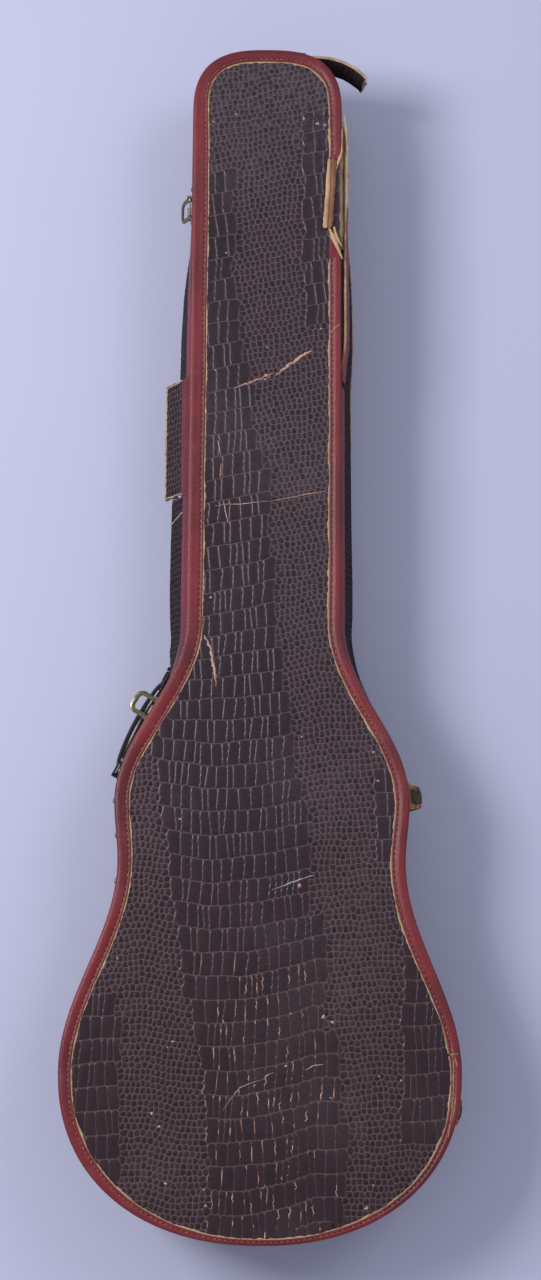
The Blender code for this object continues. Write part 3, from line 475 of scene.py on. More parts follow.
def raise_scales(form, chance):
    """Lift each cell out of the groove round it and round its corners off.

    The left sides of the tall ones come back, for the wear.
    """
    raised = form.verts.layers.float.new("raised")
    tone = form.verts.layers.float.new("tone")
    tops = [face for face in form.faces if face.calc_area() > NARROWEST * face.calc_perimeter()]
    bmesh.ops.inset_individual(form, faces=tops, thickness=GROOVE_HALF, depth=0.0, use_even_offset=True)
    tall = []
    sides = []
    for top in tops:
        inside = set(top.verts)
        for corner in top.verts:
            feet = (edge.other_vert(corner) for edge in corner.link_edges)
            foot = next(foot for foot in feet if foot not in inside)
            step = corner.co - foot.co
            if step.length > LONGEST_STEP:
                corner.co = foot.co + step.normalized() * LONGEST_STEP
        ring = [corner.co.copy() for corner in top.verts]
        size = len(ring)
        shade = chance.random()
        middle = sum(ring, Vector()) / size
        half = max(abs(place.y - middle.y) for place in ring)
        is_tall = half > BIG_HEIGHT / 2
        for number, corner in enumerate(top.verts):
            beside = (ring[number - 1] + ring[(number + 1) % size]) / 2
            corner.co = ring[number] * (1 - CORNER_ROUNDING) + beside * CORNER_ROUNDING
            if is_tall:
                off = corner.co - middle
                corner.co.y -= off.y / half * ROW_GROOVE
                corner.co.x += math.copysign(SIDE_GROOVE, off.x)
            else:
                corner.co -= (corner.co - middle).normalized() * PEBBLE_GROOVE
            shake = Vector((corner.co.x * 700, corner.co.y * 700, 0))
            corner.co.x += EDGE_JITTER * noise.noise(shake)
            corner.co.y += EDGE_JITTER * noise.noise(shake + Vector((0, 0, 9)))
            corner.co.z = SCALE_RELIEF
            corner[raised] = 1.0
            corner[tone] = BIG_TONE + BIG_TONE_SPREAD * shade if is_tall else shade
        if is_tall:
            tall.append(top)
            reach = min(place.x for place in ring) - middle.x
            sides.append(sorted((place.y, place.x) for place in ring if place.x - middle.x < 0.5 * reach))
    bmesh.ops.inset_individual(form, faces=tall, thickness=EDGE_ROUND, depth=0.0001, use_even_offset=True)
    return sides


def piece_of(name, form, body, finishes=(), smooth=None, replaced=(), slot=None):
    """Turn a mesh form into a piece that rides on a body, with its finishes and shading."""
    mesh = bpy.data.meshes.new(name)
    form.to_mesh(mesh)
    form.free()
    made = bpy.data.objects.new(name, mesh)
    bpy.context.scene.collection.objects.link(made)
    mesh.shade_smooth()
    if smooth is not None:
        mesh.set_sharp_from_angle(angle=smooth)
    for finish in finishes:
        mesh.materials.append(finish)
    if body:
        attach(made, body)
    if replaced:
        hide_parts(*replaced)
    return made


def solid_piece(name, form, *rest, **settings):
    """A piece from a closed form, with all its faces turned outwards."""
    bmesh.ops.recalc_face_normals(form, faces=form.faces)
    return piece_of(name, form, *rest, **settings)


def embossed_panel(name, node, is_big, rise, body, chance, up=1):
    """A panel of embossed board in the place of a CAD panel: every scale stands out of the sheet."""
    low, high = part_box(node)
    inset = LENGTH / 2 - high.y
    rim = [place - out * inset for place, out in zip(EDGE, EDGE_OUT)]
    tree = kdtree.KDTree(len(rim))
    for number, place in enumerate(rim):
        tree.insert((*place, 0), number)
    tree.balance()

    def depth_inside(place):
        _, number, _ = tree.find((place.x, place.y, 0))
        return (rim[number] - place.xy).dot(EDGE_OUT[number])

    seeds = scale_seeds(low, high, is_big, rise, chance)
    form = flat_skin(seeds, lambda place: depth_inside(place) > SKIN_MARGIN)
    for corner in form.verts:
        _, number, away = tree.find((corner.co.x, corner.co.y, 0))
        if corner.is_boundary and away < SNAP_REACH or depth_inside(corner.co) < 0:
            corner.co.xy = rim[number]
    bmesh.ops.remove_doubles(form, verts=form.verts, dist=0.0001)
    sides = raise_scales(form, chance)
    face, back = (high.z, low.z) if up > 0 else (low.z, high.z)
    for corner in form.verts:
        warp = BOARD_WARP * noise.noise(Vector((corner.co.x * 14, corner.co.y * 14, 0.3)))
        corner.co.z = face + up * (corner.co.z + warp)
    outer = [edge for edge in form.edges if edge.is_boundary]
    for corner in bmesh.ops.extrude_edge_only(form, edges=outer)["geom"]:
        if isinstance(corner, bmesh.types.BMVert):
            corner.co.z = back
    last = [edge for edge in form.edges if edge.is_boundary]
    bmesh.ops.triangle_fill(form, edges=last, use_beauty=True, normal=(0, 0, 1))
    solid_piece(name, form, body, [EMBOSSED], replaced=[node], slot="embossed_board")
    return sides


CORNER_ANGLE = math.radians(50)
EMBOSSED = embossed_finish("embossed_board", 0.36, 0.0)
EMBOSSED_DULL = embossed_finish("embossed_board_dull", 0.12, 0.0)
# A copy of the board darkened all over: painted shade for the walls and rim strips that stand on edge.
EMBOSSED_PAINTED_SHADE = embossed_finish("embossed_board_painted_shade", 0.10, 0.35)
RAW_EDGE = raw_finish("raw_edge", RAW_TAN, RAW_BROWN)

BACK_BIG_HALF = 0.044


def back_is_big(x, y):
    return abs(x + 0.006 * math.sin(y * 7)) < BACK_BIG_HALF - 0.02 * smoothly((y - 0.05) / 0.3)


def back_rise(x, y):
    return 0.06 * x + 0.0012 * noise.noise(Vector((x * 30, y * 30, 9.0)))


embossed_panel("back_panel_board", "back_panel", back_is_big, back_rise, "tray", random.Random(11), up=-1)


# Tray walls
# Two long strips of the embossed board, stood on edge, bent round the back panel and butted at
# tail and head. They are stitched to the panel through the binding.

WALL_BIG = (0.030, 0.052)
STRIP_MARGIN = 0.03
FRINGE_REACH = 0.004


def wall_is_big(x, y):
    return WALL_BIG[0] < x + 0.004 * math.sin(y * 9) < WALL_BIG[1]


def wall_rise(x, y):
    return 0.0015 * noise.noise(Vector((x * 25, y * 25, 2.0)))


def embossed_strip(
    name, start, end, low, high, path, offset, thick, body, chance, fringe=0.0, finish=EMBOSSED_PAINTED_SHADE, **rest
):
    """A strip of embossed board on edge along a path, between two distances along it and two heights.

    path gives the place and outward normal at a distance, and offset how far out the face stands there.
    """
    corner_low, corner_high = (low, start), (high, end)
    seeds = scale_seeds(corner_low, corner_high, wall_is_big, wall_rise, chance)

    def near_strip(middle):
        beside = low - SEED_MARGIN < middle.x < high + SEED_MARGIN
        return beside and start - STRIP_MARGIN < middle.y < end + STRIP_MARGIN

    form = flat_skin(seeds, near_strip)
    cuts = (((low, 0), (-1, 0)), ((high, 0), (1, 0)), ((0, start), (0, -1)), ((0, end), (0, 1)))
    for place, way in cuts:
        every = form.verts[:] + form.edges[:] + form.faces[:]
        bmesh.ops.bisect_plane(
            form, geom=every, dist=0.00002, plane_co=(*place, 0), plane_no=(*way, 0), clear_outer=True
        )
    bmesh.ops.dissolve_degenerate(form, dist=GROOVE_HALF, edges=form.edges)
    raise_scales(form, chance)
    bmesh.ops.reverse_faces(form, faces=form.faces)
    for corner in form.verts:
        height, distance, lift = corner.co
        near_end = max(0.0, 1 - min(distance - start, end - distance) / FRINGE_REACH)
        distance += fringe * near_end * noise.noise(Vector((height * 260, distance * 40, 1.0)))
        place, out = path(distance)
        place = place + out * (offset(place, height) + lift)
        corner.co = (*place, height)
    made = piece_of(name, form, body, [finish, RAW_EDGE], slot="embossed_board", **rest)
    board = made.modifiers.new("board", "SOLIDIFY")
    board.thickness = thick
    board.offset = -1.0
    board.use_quality_normals = True
    board.material_offset_rim = 1
    return made


WALL_SEAM = 0.0003
tray_inset = LENGTH / 2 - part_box("tray_wall_hinge_side")[1].y
tray_low, tray_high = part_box("tray_wall_hinge_side")[0].z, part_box("tray_wall_hinge_side")[1].z
TRAY_BOARD = 0.0026
for name, start, end, seed in (
    ("hinge_side", WALL_SEAM, ROUND_LENGTH / 2 - WALL_SEAM, 21),
    ("latch_side", ROUND_LENGTH / 2 + WALL_SEAM, ROUND_LENGTH - WALL_SEAM, 22),
):
    embossed_strip(
        f"tray_board_{name}",
        start,
        end,
        tray_low,
        tray_high,
        edge_at,
        lambda place, height: -tray_inset,
        TRAY_BOARD,
        "tray",
        random.Random(seed),
        replaced=[f"tray_wall_{name}"],
    )


# Back binding
# Leatherette, which is maroon oilcloth on paper, folded over the edge where the walls meet the
# back panel. One row of waxed thread goes through the panel and one through the walls.

LEATHERETTE_RED = (0.150, 0.012, 0.017)
LEATHERETTE_DARK = (0.085, 0.008, 0.012)
LEATHERETTE_WORN = (0.200, 0.050, 0.055)
STITCH_PITCH = 0.0048
STITCH_LENGTH = 0.0034
STITCH_RADIUS = 0.00036
STITCH_CORNERS = 6
THREAD_DARK = (0.150, 0.055, 0.050)
THREAD_LIGHT = (0.340, 0.170, 0.130)
BACK_STEP = 0.003
BACK_FACE_WIDTH = 0.0125
BACK_SIDE = 0.0120
BACK_FACE_STITCH = 0.0042
BACK_SIDE_STITCH = 0.0084
BACK_RUFFLE = 0.0002


def leatherette_finish():
    """Maroon oilcloth: fine pores, with dull worn patches and darker patches of grime."""
    made, shader, place = finish_of("leatherette_binding")
    worn = place.grain(38.0, 4.0, 0.6)
    darkening = place.grain(12.0, 2.0)
    pores = place.grain(1500.0, 1.0)
    colour = darkening.rise(0.4, 0.7).blend(LEATHERETTE_RED, LEATHERETTE_DARK)
    lead((worn.rise(0.5, 0.8) * 0.35).blend(colour, LEATHERETTE_WORN), shader, "Base Color")
    lead(worn * 0.25 + 0.24, shader, "Roughness")
    shader.inputs["Specular IOR Level"].default_value = 0.34
    relief(pores * 0.4 + place.grain(520.0, 3.0, 0.6) * 0.9, shader, 0.0004, 0.9)
    return made


def thread_finish():
    """Waxed thread with a twist: tan, soiled by the binding's red."""
    made, shader, place = finish_of("stitching_thread")
    lead(place.grain(220.0).rise(0.3, 0.7).blend(THREAD_DARK, THREAD_LIGHT), shader, "Base Color")
    shader.inputs["Roughness"].default_value = 0.7
    relief(place.grain(2600.0, 1.0), shader, 0.0001)
    return made


def add_sweep(form, rings, closed=False):
    """Join rings of points, one at each stop, to a closed solid."""
    grid = [[form.verts.new(point) for point in ring] for ring in rings]
    size = len(rings[0])
    pairs = list(zip(grid, grid[1:]))
    if closed:
        pairs.append((grid[-1], grid[0]))
    else:
        form.faces.new(list(reversed(grid[0])))
        form.faces.new(grid[-1])
    for first, second in pairs:
        for side in range(size):
            other = (side + 1) % size
            form.faces.new((first[side], first[other], second[other], second[side]))


def swept_piece(name, rings, body, finishes, closed=False, **rest):
    """A piece swept through rings of points."""
    form = bmesh.new()
    add_sweep(form, rings, closed)
    return solid_piece(name, form, body, finishes, **rest)


def round_ring(middle, right, up, radius, corners):
    """Points round a circle in the plane of two directions."""
    turns = [math.tau * number / corners for number in range(corners)]
    return [middle + (right * math.cos(turn) + up * math.sin(turn)) * radius for turn in turns]


def ring_at(distance, section):
    """Points round a section, each so far out from the edge and so high, at a distance round it."""
    place, out = edge_at(distance)
    return [Vector((*(place + out * across), height)) for across, height in section]


def stops(start, end, spacing):
    count = max(2, round((end - start) / spacing))
    return [start + (end - start) * number / count for number in range(count + 1)]


def add_stitch(form, place, along, length, radius):
    """One stitch as a small closed bead that tapers at both ends."""
    right, up, run = Vector(along).to_track_quat("Z", "Y").to_matrix().col
    rings = []
    for share, girth in ((-0.5, 0.35), (-0.3, 0.9), (0.0, 1.0), (0.3, 0.9), (0.5, 0.35)):
        rings.append(round_ring(place + run * share * length, right, up, radius * girth, STITCH_CORNERS))
    add_sweep(form, rings)


def stitched_line(name, start, end, across, height, body):
    """A row of stitches along the edge, at a distance out from it and a height."""
    form = bmesh.new()
    for distance in stops(start, end, STITCH_PITCH)[:-1]:
        place, out = edge_at(distance)
        along = (-out.y, out.x, 0.0)
        middle = place + out * across(distance)
        add_stitch(form, Vector((*middle, height)), along, STITCH_LENGTH, STITCH_RADIUS)
    return piece_of(name, form, body, [THREAD], slot="leatherette_binding")


LEATHERETTE = leatherette_finish()
THREAD = thread_finish()
back_binding_inset = LENGTH / 2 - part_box("back_binding")[1].y
back_rings = []
for distance in stops(0.0, ROUND_LENGTH, BACK_STEP)[:-1]:
    out = -back_binding_inset
    ruffle = BACK_RUFFLE * noise.noise(Vector((distance * 60, 0, 0)))
    section = (
        (out - 0.0010, BACK_SIDE),
        (out - 0.0010, 0.0012),
        (out - BACK_FACE_WIDTH, 0.0012),
        (out - BACK_FACE_WIDTH, 0.0003),
        (out - BACK_FACE_WIDTH + 0.0036, 0.0001),
        (out - BACK_FACE_WIDTH + BACK_FACE_STITCH, 0.0005),
        (out - BACK_FACE_WIDTH + 0.0048, 0.0001),
        (out - 0.0030, 0.0),
        (out - 0.0012, 0.0005),
        (out - 0.0004, 0.0014),
        (out, 0.0032),
        (out, 0.0078 + ruffle),
        (out - 0.0004, BACK_SIDE_STITCH + ruffle),
        (out, 0.0090 + ruffle),
        (out, BACK_SIDE),
    )
    back_rings.append(ring_at(distance, section))
swept_piece(
    "back_binding_cover",
    back_rings,
    "tray",
    [LEATHERETTE],
    closed=True,
    smooth=CORNER_ANGLE,
    replaced=["back_binding"],
    slot="leatherette_binding",
)
stitched_line(
    "back_binding_face_stitches",
    0.0,
    ROUND_LENGTH,
    lambda distance: -back_binding_inset - BACK_FACE_WIDTH + BACK_FACE_STITCH,
    0.0004,
    "tray",
)
stitched_line(
    "back_binding_side_stitches",
    0.0,
    ROUND_LENGTH,
    lambda distance: -back_binding_inset - 0.0003,
    BACK_SIDE_STITCH,
    "tray",
)


# Linings
# Thin plush, cut to shape and glued to the tray's floor and walls and inside the lid. It puckers a
# little where it turns.

LINING_SPREAD = 0.012
LINING_BORDER = 0.010
LINING_STEP = 0.006
PLUSH_RED = (0.260, 0.085, 0.070)
PLUSH_DARK = (0.110, 0.030, 0.028)


def plush_finish():
    """Short plush pile: brushed light and dark patches over a fine nap."""
    made, shader, place = finish_of("plush_lining")
    brushed = place.times((1.0, 0.4, 1.0)).grain(26.0, 3.0, 0.6)
    nap = place.grain(1300.0, 2.0)
    lead((brushed.rise(0.35, 0.65) * 0.6 + nap * 0.4).blend(PLUSH_RED, PLUSH_DARK), shader, "Base Color")
    shader.inputs["Roughness"].default_value = 0.95
    shader.inputs["Sheen Weight"].default_value = 0.35
    relief(nap, shader, 0.0006)
    return made


def lining_sheet(name, node, body, face_up):
    """A lining glued flat, with low puffs, in the place of a CAD lining."""
    low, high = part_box(node)
    inset = LENGTH / 2 - high.y
    border = [place - out * inset for place, out in zip(EDGE[::2], EDGE_OUT[::2])]
    inner = [place - out * (inset + LINING_BORDER) for place, out in zip(EDGE[::3], EDGE_OUT[::3])]
    grid = []
    for row in range(round((high.y - low.y) / LINING_SPREAD)):
        for column in range(round((high.x - low.x) / LINING_SPREAD)):
            x = low.x + (column + 0.5) * LINING_SPREAD
            grid.append(Vector((x, low.y + (row + 0.5) * LINING_SPREAD)))
    points = border + inner + grid
    sides = [(number, (number + 1) % len(border)) for number in range(len(border))]
    flat, _, faces, sources, _, _ = delaunay_2d_cdt(points, sides, [], 1, 1e-6)
    form = bmesh.new()
    thick = high.z - low.z
    made = []
    for number, place in enumerate(flat):
        puff = 0.5 + 0.5 * noise.noise(Vector((place.x * 40, place.y * 40, 7.0)))
        rim = any(source < len(border) for source in sources[number])
        level = thick * (0.45 if rim else 0.70 + 0.28 * puff)
        made.append(form.verts.new((place.x, place.y, low.z + level if face_up else high.z - level)))
    for face in faces:
        form.faces.new([made[number] for number in face])
    outer = [edge for edge in form.edges if edge.is_boundary]
    for corner in bmesh.ops.extrude_edge_only(form, edges=outer)["geom"]:
        if isinstance(corner, bmesh.types.BMVert):
            corner.co.z = low.z if face_up else high.z
    last = [edge for edge in form.edges if edge.is_boundary]
    bmesh.ops.triangle_fill(form, edges=last, use_beauty=True, normal=(0, 0, 1))
    sheet = solid_piece(name, form, body, [PLUSH], CORNER_ANGLE, [node], "plush_lining")
    around = zip(border, border[1:] + border[:1])
    area = sum(first.x * second.y - second.x * first.y for first, second in around) / 2


PLUSH = plush_finish()
lining_sheet("tray_floor_plush", "tray_floor_lining", "tray", True)
lining_sheet("lid_plush", "lid_lining", "lid", False)

lining_low, lining_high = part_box("tray_wall_lining")
lining_inset = LENGTH / 2 - lining_high.y
lining_rings = []
for distance in stops(0.0, ROUND_LENGTH, LINING_STEP)[:-1]:
    out = -lining_inset
    puff = 0.0003 * noise.noise(Vector((distance * 45, 3.0, 0)))
    levels = [lining_low.z + (lining_high.z - lining_low.z) * share for share in (0.02, 0.3, 0.6, 0.85, 0.97)]
    section = [(out, lining_low.z)]
    section += [(out - 0.0009 + puff * (-1) ** number, level) for number, level in enumerate(levels)]
    section += [(out - 0.0005, lining_high.z), (out, lining_high.z)]
    lining_rings.append(ring_at(distance, section))
wall_plush = swept_piece(
    "tray_wall_plush",
    lining_rings,
    "tray",
    [PLUSH],
    closed=True,
    smooth=CORNER_ANGLE,
    replaced=["tray_wall_lining"],
    slot="plush_lining",
)


# String box and neck cradle
# Thin boards and a notched block, covered with the same plush and glued into the tray. The box's
# lid turns on a strip of cloth and has a leather pull tab.

def dress(names, finish):
    """Give CAD nodes that show as they are their finish."""
    for name in names:
        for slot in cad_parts[name].material_slots:
            slot.link = "OBJECT"
            slot.material = finish


def leather_finish():
    """Vegetable-tanned leather: orange-brown, dry, darker in the cracks."""
    made, shader, place = finish_of("strap_leather")
    crack = place.times((1.0, 1.0, 0.4)).grain(320.0, 4.0, 0.7)
    stain = place.grain(90.0, 2.0)
    colour = stain.rise(0.4, 0.65).blend((0.330, 0.145, 0.045), (0.120, 0.042, 0.018))
    lead((crack.rise(0.45, 0.7) * 0.7).blend(colour, (0.050, 0.024, 0.014)), shader, "Base Color")
    shader.inputs["Roughness"].default_value = 0.72
    relief(crack, shader, 0.0005)
    return made


STRAP_LEATHER = leather_finish()
dress(["compartment_wall_tail", "compartment_wall_head", "compartment_lid", "neck_cradle"], PLUSH)
dress(["compartment_pull_tab"], STRAP_LEATHER)

cloth_low, cloth_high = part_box("compartment_hinge_cloth")
cloth_rings = []
for share in stops(0.0, 1.0, 0.02):
    y = cloth_low.y + (cloth_high.y - cloth_low.y) * share
    wobble = 0.0001 * noise.noise(Vector((y * 90, 0, 0)))
    levels = [cloth_low.z + (cloth_high.z - cloth_low.z) * step / 6 for step in range(7)]
    ring = [Vector((cloth_low.x + 0.0001 + wobble, y, level)) for level in levels]
    ring += [Vector((cloth_high.x - 0.0001 + wobble, y, level)) for level in reversed(levels)]
    cloth_rings.append(ring)
cloth = swept_piece(
    "string_box_hinge_cloth",
    cloth_rings,
    "tray",
    [PLUSH],
    smooth=CORNER_ANGLE,
    replaced=["compartment_hinge_cloth"],
    slot="plush_lining",
)


# Lid panel
# The same pressed board, cut to the outline and held by the lid binding. Its band of belly scales
# starts at the latch side of the neck and widens down into the lower bout, between fields of
# pebbles.

LID_BIG_BAND = (
    (0.000, -0.040, 0.073),
    (0.075, -0.040, 0.071),
    (0.140, -0.044, 0.064),
    (0.200, -0.058, 0.056),
    (0.290, -0.072, 0.045),
    (0.380, -0.084, 0.034),
    (0.426, -0.092, 0.022),
    (0.460, -0.074, 0.019),
    (0.500, -0.060, 0.013),
    (0.640, -0.060, 0.002),
    (0.727, -0.060, -0.010),
    (0.800, -0.060, -0.026),
    (0.930, -0.060, -0.030),
)
LID_BIG_BLOCKS = (
    (0.040, 0.215, -0.180, -0.120),
    (0.080, 0.255, 0.124, 0.180),
    (0.330, 0.400, 0.100, 0.140),
    (0.790, 0.990, 0.036, 0.070),
)
BELLY_FROM = 0.55
BELLY_TO = 0.40
ROW_WANDER = 0.0026


def read(table, at):
    """Read a table of rows by its first column, with the columns after it blended between rows."""
    for low, high in zip(table, table[1:]):
        if at <= high[0]:
            share = max(0.0, (at - low[0]) / (high[0] - low[0]))
            return [a + (b - a) * share for a, b in zip(low[1:], high[1:])]
    return list(table[-1][1:])


def lid_is_big(x, y):
    station = y + LENGTH / 2
    left, right = read(LID_BIG_BAND, station)
    if station < LID_BIG_BAND[-1][0] and left <= x <= right:
        return True
    return any(low <= station <= high and left <= x <= right for low, high, left, right in LID_BIG_BLOCKS)


def lid_rise(x, y):
    """The rows sag in the middle of the belly and climb to the hinge side along the neck."""
    off = x + 0.026
    belly = 0.05 * off + 2.1 * min(abs(off), 0.072) ** 2
    share = smoothly((y + LENGTH / 2 - BELLY_TO) / (BELLY_FROM - BELLY_TO))
    wander = ROW_WANDER * noise.noise(Vector((x * 34, y * 26, 4.0)))
    return belly * (1 - share) + 0.21 * x * share + wander


lid_scale_sides = embossed_panel(
    "lid_panel_board", "lid_panel", lid_is_big, lid_rise, "lid", random.Random(5)
)
LID_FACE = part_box("lid_panel")[1].z


# Wear on the lid
# Knocks and scratches through the embossed paper of the lid, down to its tan pulp. Each is a thin
# ragged patch that stands just over the scales.

SCRATCH_LINES = (
    (0.0016, (-0.0272, 0.738), (-0.0192, 0.741), (-0.0087, 0.745), (0.0010, 0.748), (0.0063, 0.752)),
    (0.0026, (0.0090, 0.750), (0.0178, 0.757), (0.0284, 0.765), (0.0408, 0.773)),
    (0.0006, (-0.0436, 0.632), (-0.0322, 0.634), (-0.0200, 0.634), (-0.0059, 0.636), (0.0063, 0.637)),
    (0.0006, (0.0063, 0.637), (0.0221, 0.640), (0.0352, 0.643), (0.0536, 0.646)),
    (0.0009, (-0.0411, 0.691), (-0.0385, 0.677)),
    (0.0007, (-0.0384, 0.670), (-0.0388, 0.657)),
    (0.0009, (-0.0357, 0.637), (-0.0339, 0.626), (-0.0313, 0.617)),
    (0.0024, (-0.0510, 0.518), (-0.0458, 0.506), (-0.0423, 0.488), (-0.0405, 0.473)),
    (0.0006, (-0.0316, 0.111), (-0.0250, 0.121), (-0.0168, 0.131), (-0.0075, 0.135), (0.0026, 0.138)),
    (0.0006, (0.0026, 0.138), (0.0068, 0.142), (0.0118, 0.144)),
    (0.0009, (0.0389, 0.146), (0.0450, 0.150), (0.0535, 0.151)),
)
FLAKES = (
    (0.0010, 0.748, 0.0036),
    (0.0448, 0.981, 0.0020),
    (0.0323, 0.985, 0.0018),
    (0.0511, 0.980, 0.0022),
    (-0.0483, 0.982, 0.0016),
    (-0.0277, 0.989, 0.0014),
    (-0.0354, 0.861, 0.0014),
    (-0.0459, 0.551, 0.0014),
    (-0.0703, 0.358, 0.0014),
    (0.0488, 0.792, 0.0012),
    (0.0010, 0.775, 0.0012),
    (-0.0440, 0.754, 0.0013),
    (0.0329, 0.302, 0.0024),
    (0.0995, 0.392, 0.0016),
    (0.0952, 0.417, 0.0014),
    (0.0339, 0.430, 0.0012),
    (-0.1222, 0.239, 0.0016),
    (-0.0907, 0.109, 0.0022),
    (-0.0846, 0.098, 0.0016),
    (-0.0784, 0.051, 0.0015),
    (-0.0446, 0.033, 0.0020),
    (-0.0463, 0.046, 0.0015),
    (0.0033, 0.048, 0.0016),
    (0.0219, 0.149, 0.0016),
    (0.0535, 0.191, 0.0026),
    (0.0612, 0.186, 0.0022),
    (0.0604, 0.123, 0.0014),
    (0.1009, 0.141, 0.0016),
    (0.1195, 0.138, 0.0014),
    (0.0900, 0.032, 0.0022),
    (0.0960, 0.051, 0.0014),
    (-0.0736, 0.169, 0.0016),
    (-0.0785, 0.164, 0.0014),
)
LACQUER_SCRATCH = ((0.0090, 0.298), (0.0277, 0.305), (0.0448, 0.311))
FLAKE_GROWTH = 1.5
RUB_MARKS = 125
RUB_FROM = 0.008
RUB_TO = 0.235
RUB_MIDDLE = -0.004
RUB_SPREAD = 0.055
MARK_STEP = 0.0016
WEAR_FOOT = 0.0002
WEAR_LEVEL = SCALE_RELIEF + BOARD_WARP + 0.00015


def add_slab(form, outline, low, high):
    """A thin closed slab with the given outline."""
    top = [form.verts.new((*point, high)) for point in outline]
    bottom = [form.verts.new((*point, low)) for point in outline]
    form.faces.new(top)
    form.faces.new(list(reversed(bottom)))
    for number in range(len(outline)):
        after = (number + 1) % len(outline)
        form.faces.new((top[number], bottom[number], bottom[after], top[after]))


def heading_at(line, number):
    """The way a line runs at one of its points."""
    return line[min(number + 1, len(line) - 1)] - line[max(number - 1, 0)]


def ragged_line(points, width, chance):
    """The outline of a tapering, ragged mark along a line."""
    line = []
    for first, second in zip(points, points[1:]):
        count = max(1, round((second - first).length / MARK_STEP))
        line += [first.lerp(second, number / count) for number in range(count)]
    line.append(points[-1])
    left, right = [], []
    for number, place in enumerate(line):
        along = heading_at(line, number)
        side = Vector((-along.y, along.x)).normalized()
        taper = math.sin(math.pi * (number + 0.5) / len(line)) ** 0.5
        shift = side * chance.uniform(-0.25, 0.25) * width
        left.append(place + shift + side * width * taper * chance.uniform(0.2, 0.75))
        right.append(place + shift - side * width * taper * chance.uniform(0.2, 0.75))
    return right + left[::-1]


def add_mark(form, outline):
    add_slab(form, outline, LID_FACE - WEAR_FOOT, LID_FACE + WEAR_LEVEL)


def on_lid(x, station):
    return Vector((x, station - LENGTH / 2))


wear = bmesh.new()
wear_chance = random.Random(31)
for width, *line in SCRATCH_LINES:
    add_mark(wear, ragged_line([on_lid(*point) for point in line], width, wear_chance))
for x, station, size in FLAKES:
    middle = on_lid(x, station)
    outline = []
    for number in range(9):
        turn = math.tau * number / 9
        reach = FLAKE_GROWTH * size * wear_chance.uniform(0.15, 0.75)
        outline.append(middle + Vector((math.cos(turn), 0.8 * math.sin(turn))) * reach)
    add_mark(wear, outline)
rubbed = []
for side in lid_scale_sides:
    y, x = side[len(side) // 2]
    if RUB_FROM < y + LENGTH / 2 < RUB_TO and abs(x - RUB_MIDDLE) < abs(wear_chance.gauss(0.0, RUB_SPREAD)):
        rubbed.append(side)
for side in wear_chance.sample(rubbed, min(RUB_MARKS, len(rubbed))):
    length = wear_chance.randint(2, max(2, len(side) * 2 // 3))
    first = wear_chance.randint(0, max(0, len(side) - length))
    line = [Vector((x, y)) for y, x in side[first:first + length]]
    if len(line) > 1:
        add_mark(wear, ragged_line(line, wear_chance.uniform(0.0004, 0.0010), wear_chance))
BARE_PULP = raw_finish("bare_pulp", (0.520, 0.315, 0.240), (0.250, 0.130, 0.095))
solid_piece("bare_pulp_marks", wear, "lid", [BARE_PULP], slot="embossed_board")

lacquer = bmesh.new()
add_mark(lacquer, ragged_line([on_lid(*point) for point in LACQUER_SCRATCH], 0.0012, wear_chance))
SCRATCHED_LACQUER = raw_finish("scratched_lacquer", (0.400, 0.400, 0.520), (0.110, 0.100, 0.140))
solid_piece("lacquer_scratch", lacquer, "lid", [SCRATCHED_LACQUER], slot="embossed_board")


# Rim
# Strips of the embossed board on edge round the lid, stitched to it through the binding. Along the
# neck they have splayed outwards. A flap has broken out on the latch side, and the head strip has
# torn loose and curls away.

RIM_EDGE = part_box("rim_strip_latch_side")[0].z
RIM_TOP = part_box("rim_strip_latch_side")[1].z
RIM_INSET = LENGTH / 2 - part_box("lid_panel")[1].y
RIM_BOARD = 0.0024
FRINGE = 0.0016
HEAD_FRINGE = 0.0040
TEAR_FROM = 0.0112
TEAR_STEP = 0.0016
LATCH_FLARES = (
    (0.476, 0.0),
    (0.490, 0.0070),
    (0.505, 0.0130),
    (0.530, 0.0160),
    (0.560, 0.0170),
    (0.600, 0.0168),
    (0.650, 0.0160),
    (0.749, 0.0105),
    (0.790, 0.0100),
    (0.828, 0.0083),
    (0.852, 0.0058),
    (0.868, 0.0035),
    (0.895, 0.0),
)
HINGE_FLARES = (
    (0.395, 0.0),
    (0.415, 0.0040),
    (0.460, 0.0052),
    (0.485, 0.0075),
    (0.510, 0.0105),
    (0.541, 0.0122),
    (0.570, 0.0122),
    (0.620, 0.0112),
    (0.782, 0.0098),
    (0.828, 0.0090),
    (0.860, 0.0072),
    (0.885, 0.0044),
    (0.925, 0.0),
)
FLAP_FLARE = 0.0222
FLAP_FROM = 0.644
FLAP_TO = 0.749
FLAP_CRACK = 0.0006
SPLIT_FROM = 0.739
SPLIT_TO = 0.989
SPLIT_SHIFT = 0.0046
SPLIT_WIDER = 0.0010
RIM_HEAD_JOINT_AT = 0.975
RIM_TEAR_AT = 0.985
CURL_FROM_HALF = 0.038
CURL_RADIUS = 0.060
CURL_LENGTH = 0.060
CURL_PARTS = 24
CURL_START = math.radians(10)
CURL_PULL = 0.0032
CURL_PULL_RUN = 0.022
CURL_TRIM = 0.84
CURL_SPLAY = -0.0045


def flare_at(place):
    """How far the rim's free edge has splayed outwards at a place on the outline."""
    station = place.y + LENGTH / 2
    if place.x < 0 and FLAP_FROM < station < FLAP_TO:
        return FLAP_FLARE
    return read(LATCH_FLARES if place.x < 0 else HINGE_FLARES, station)[0]


def split_at(place):
    """How far the whole rim has come away from the panel beside the torn binding."""
    station = place.y + LENGTH / 2
    if place.x < 0:
        return 0.0
    opening = smoothly((station - SPLIT_FROM) / 0.050) * smoothly((SPLIT_TO - station) / 0.030)
    return (SPLIT_SHIFT + SPLIT_WIDER * smoothly((station - 0.88) / 0.04)) * opening


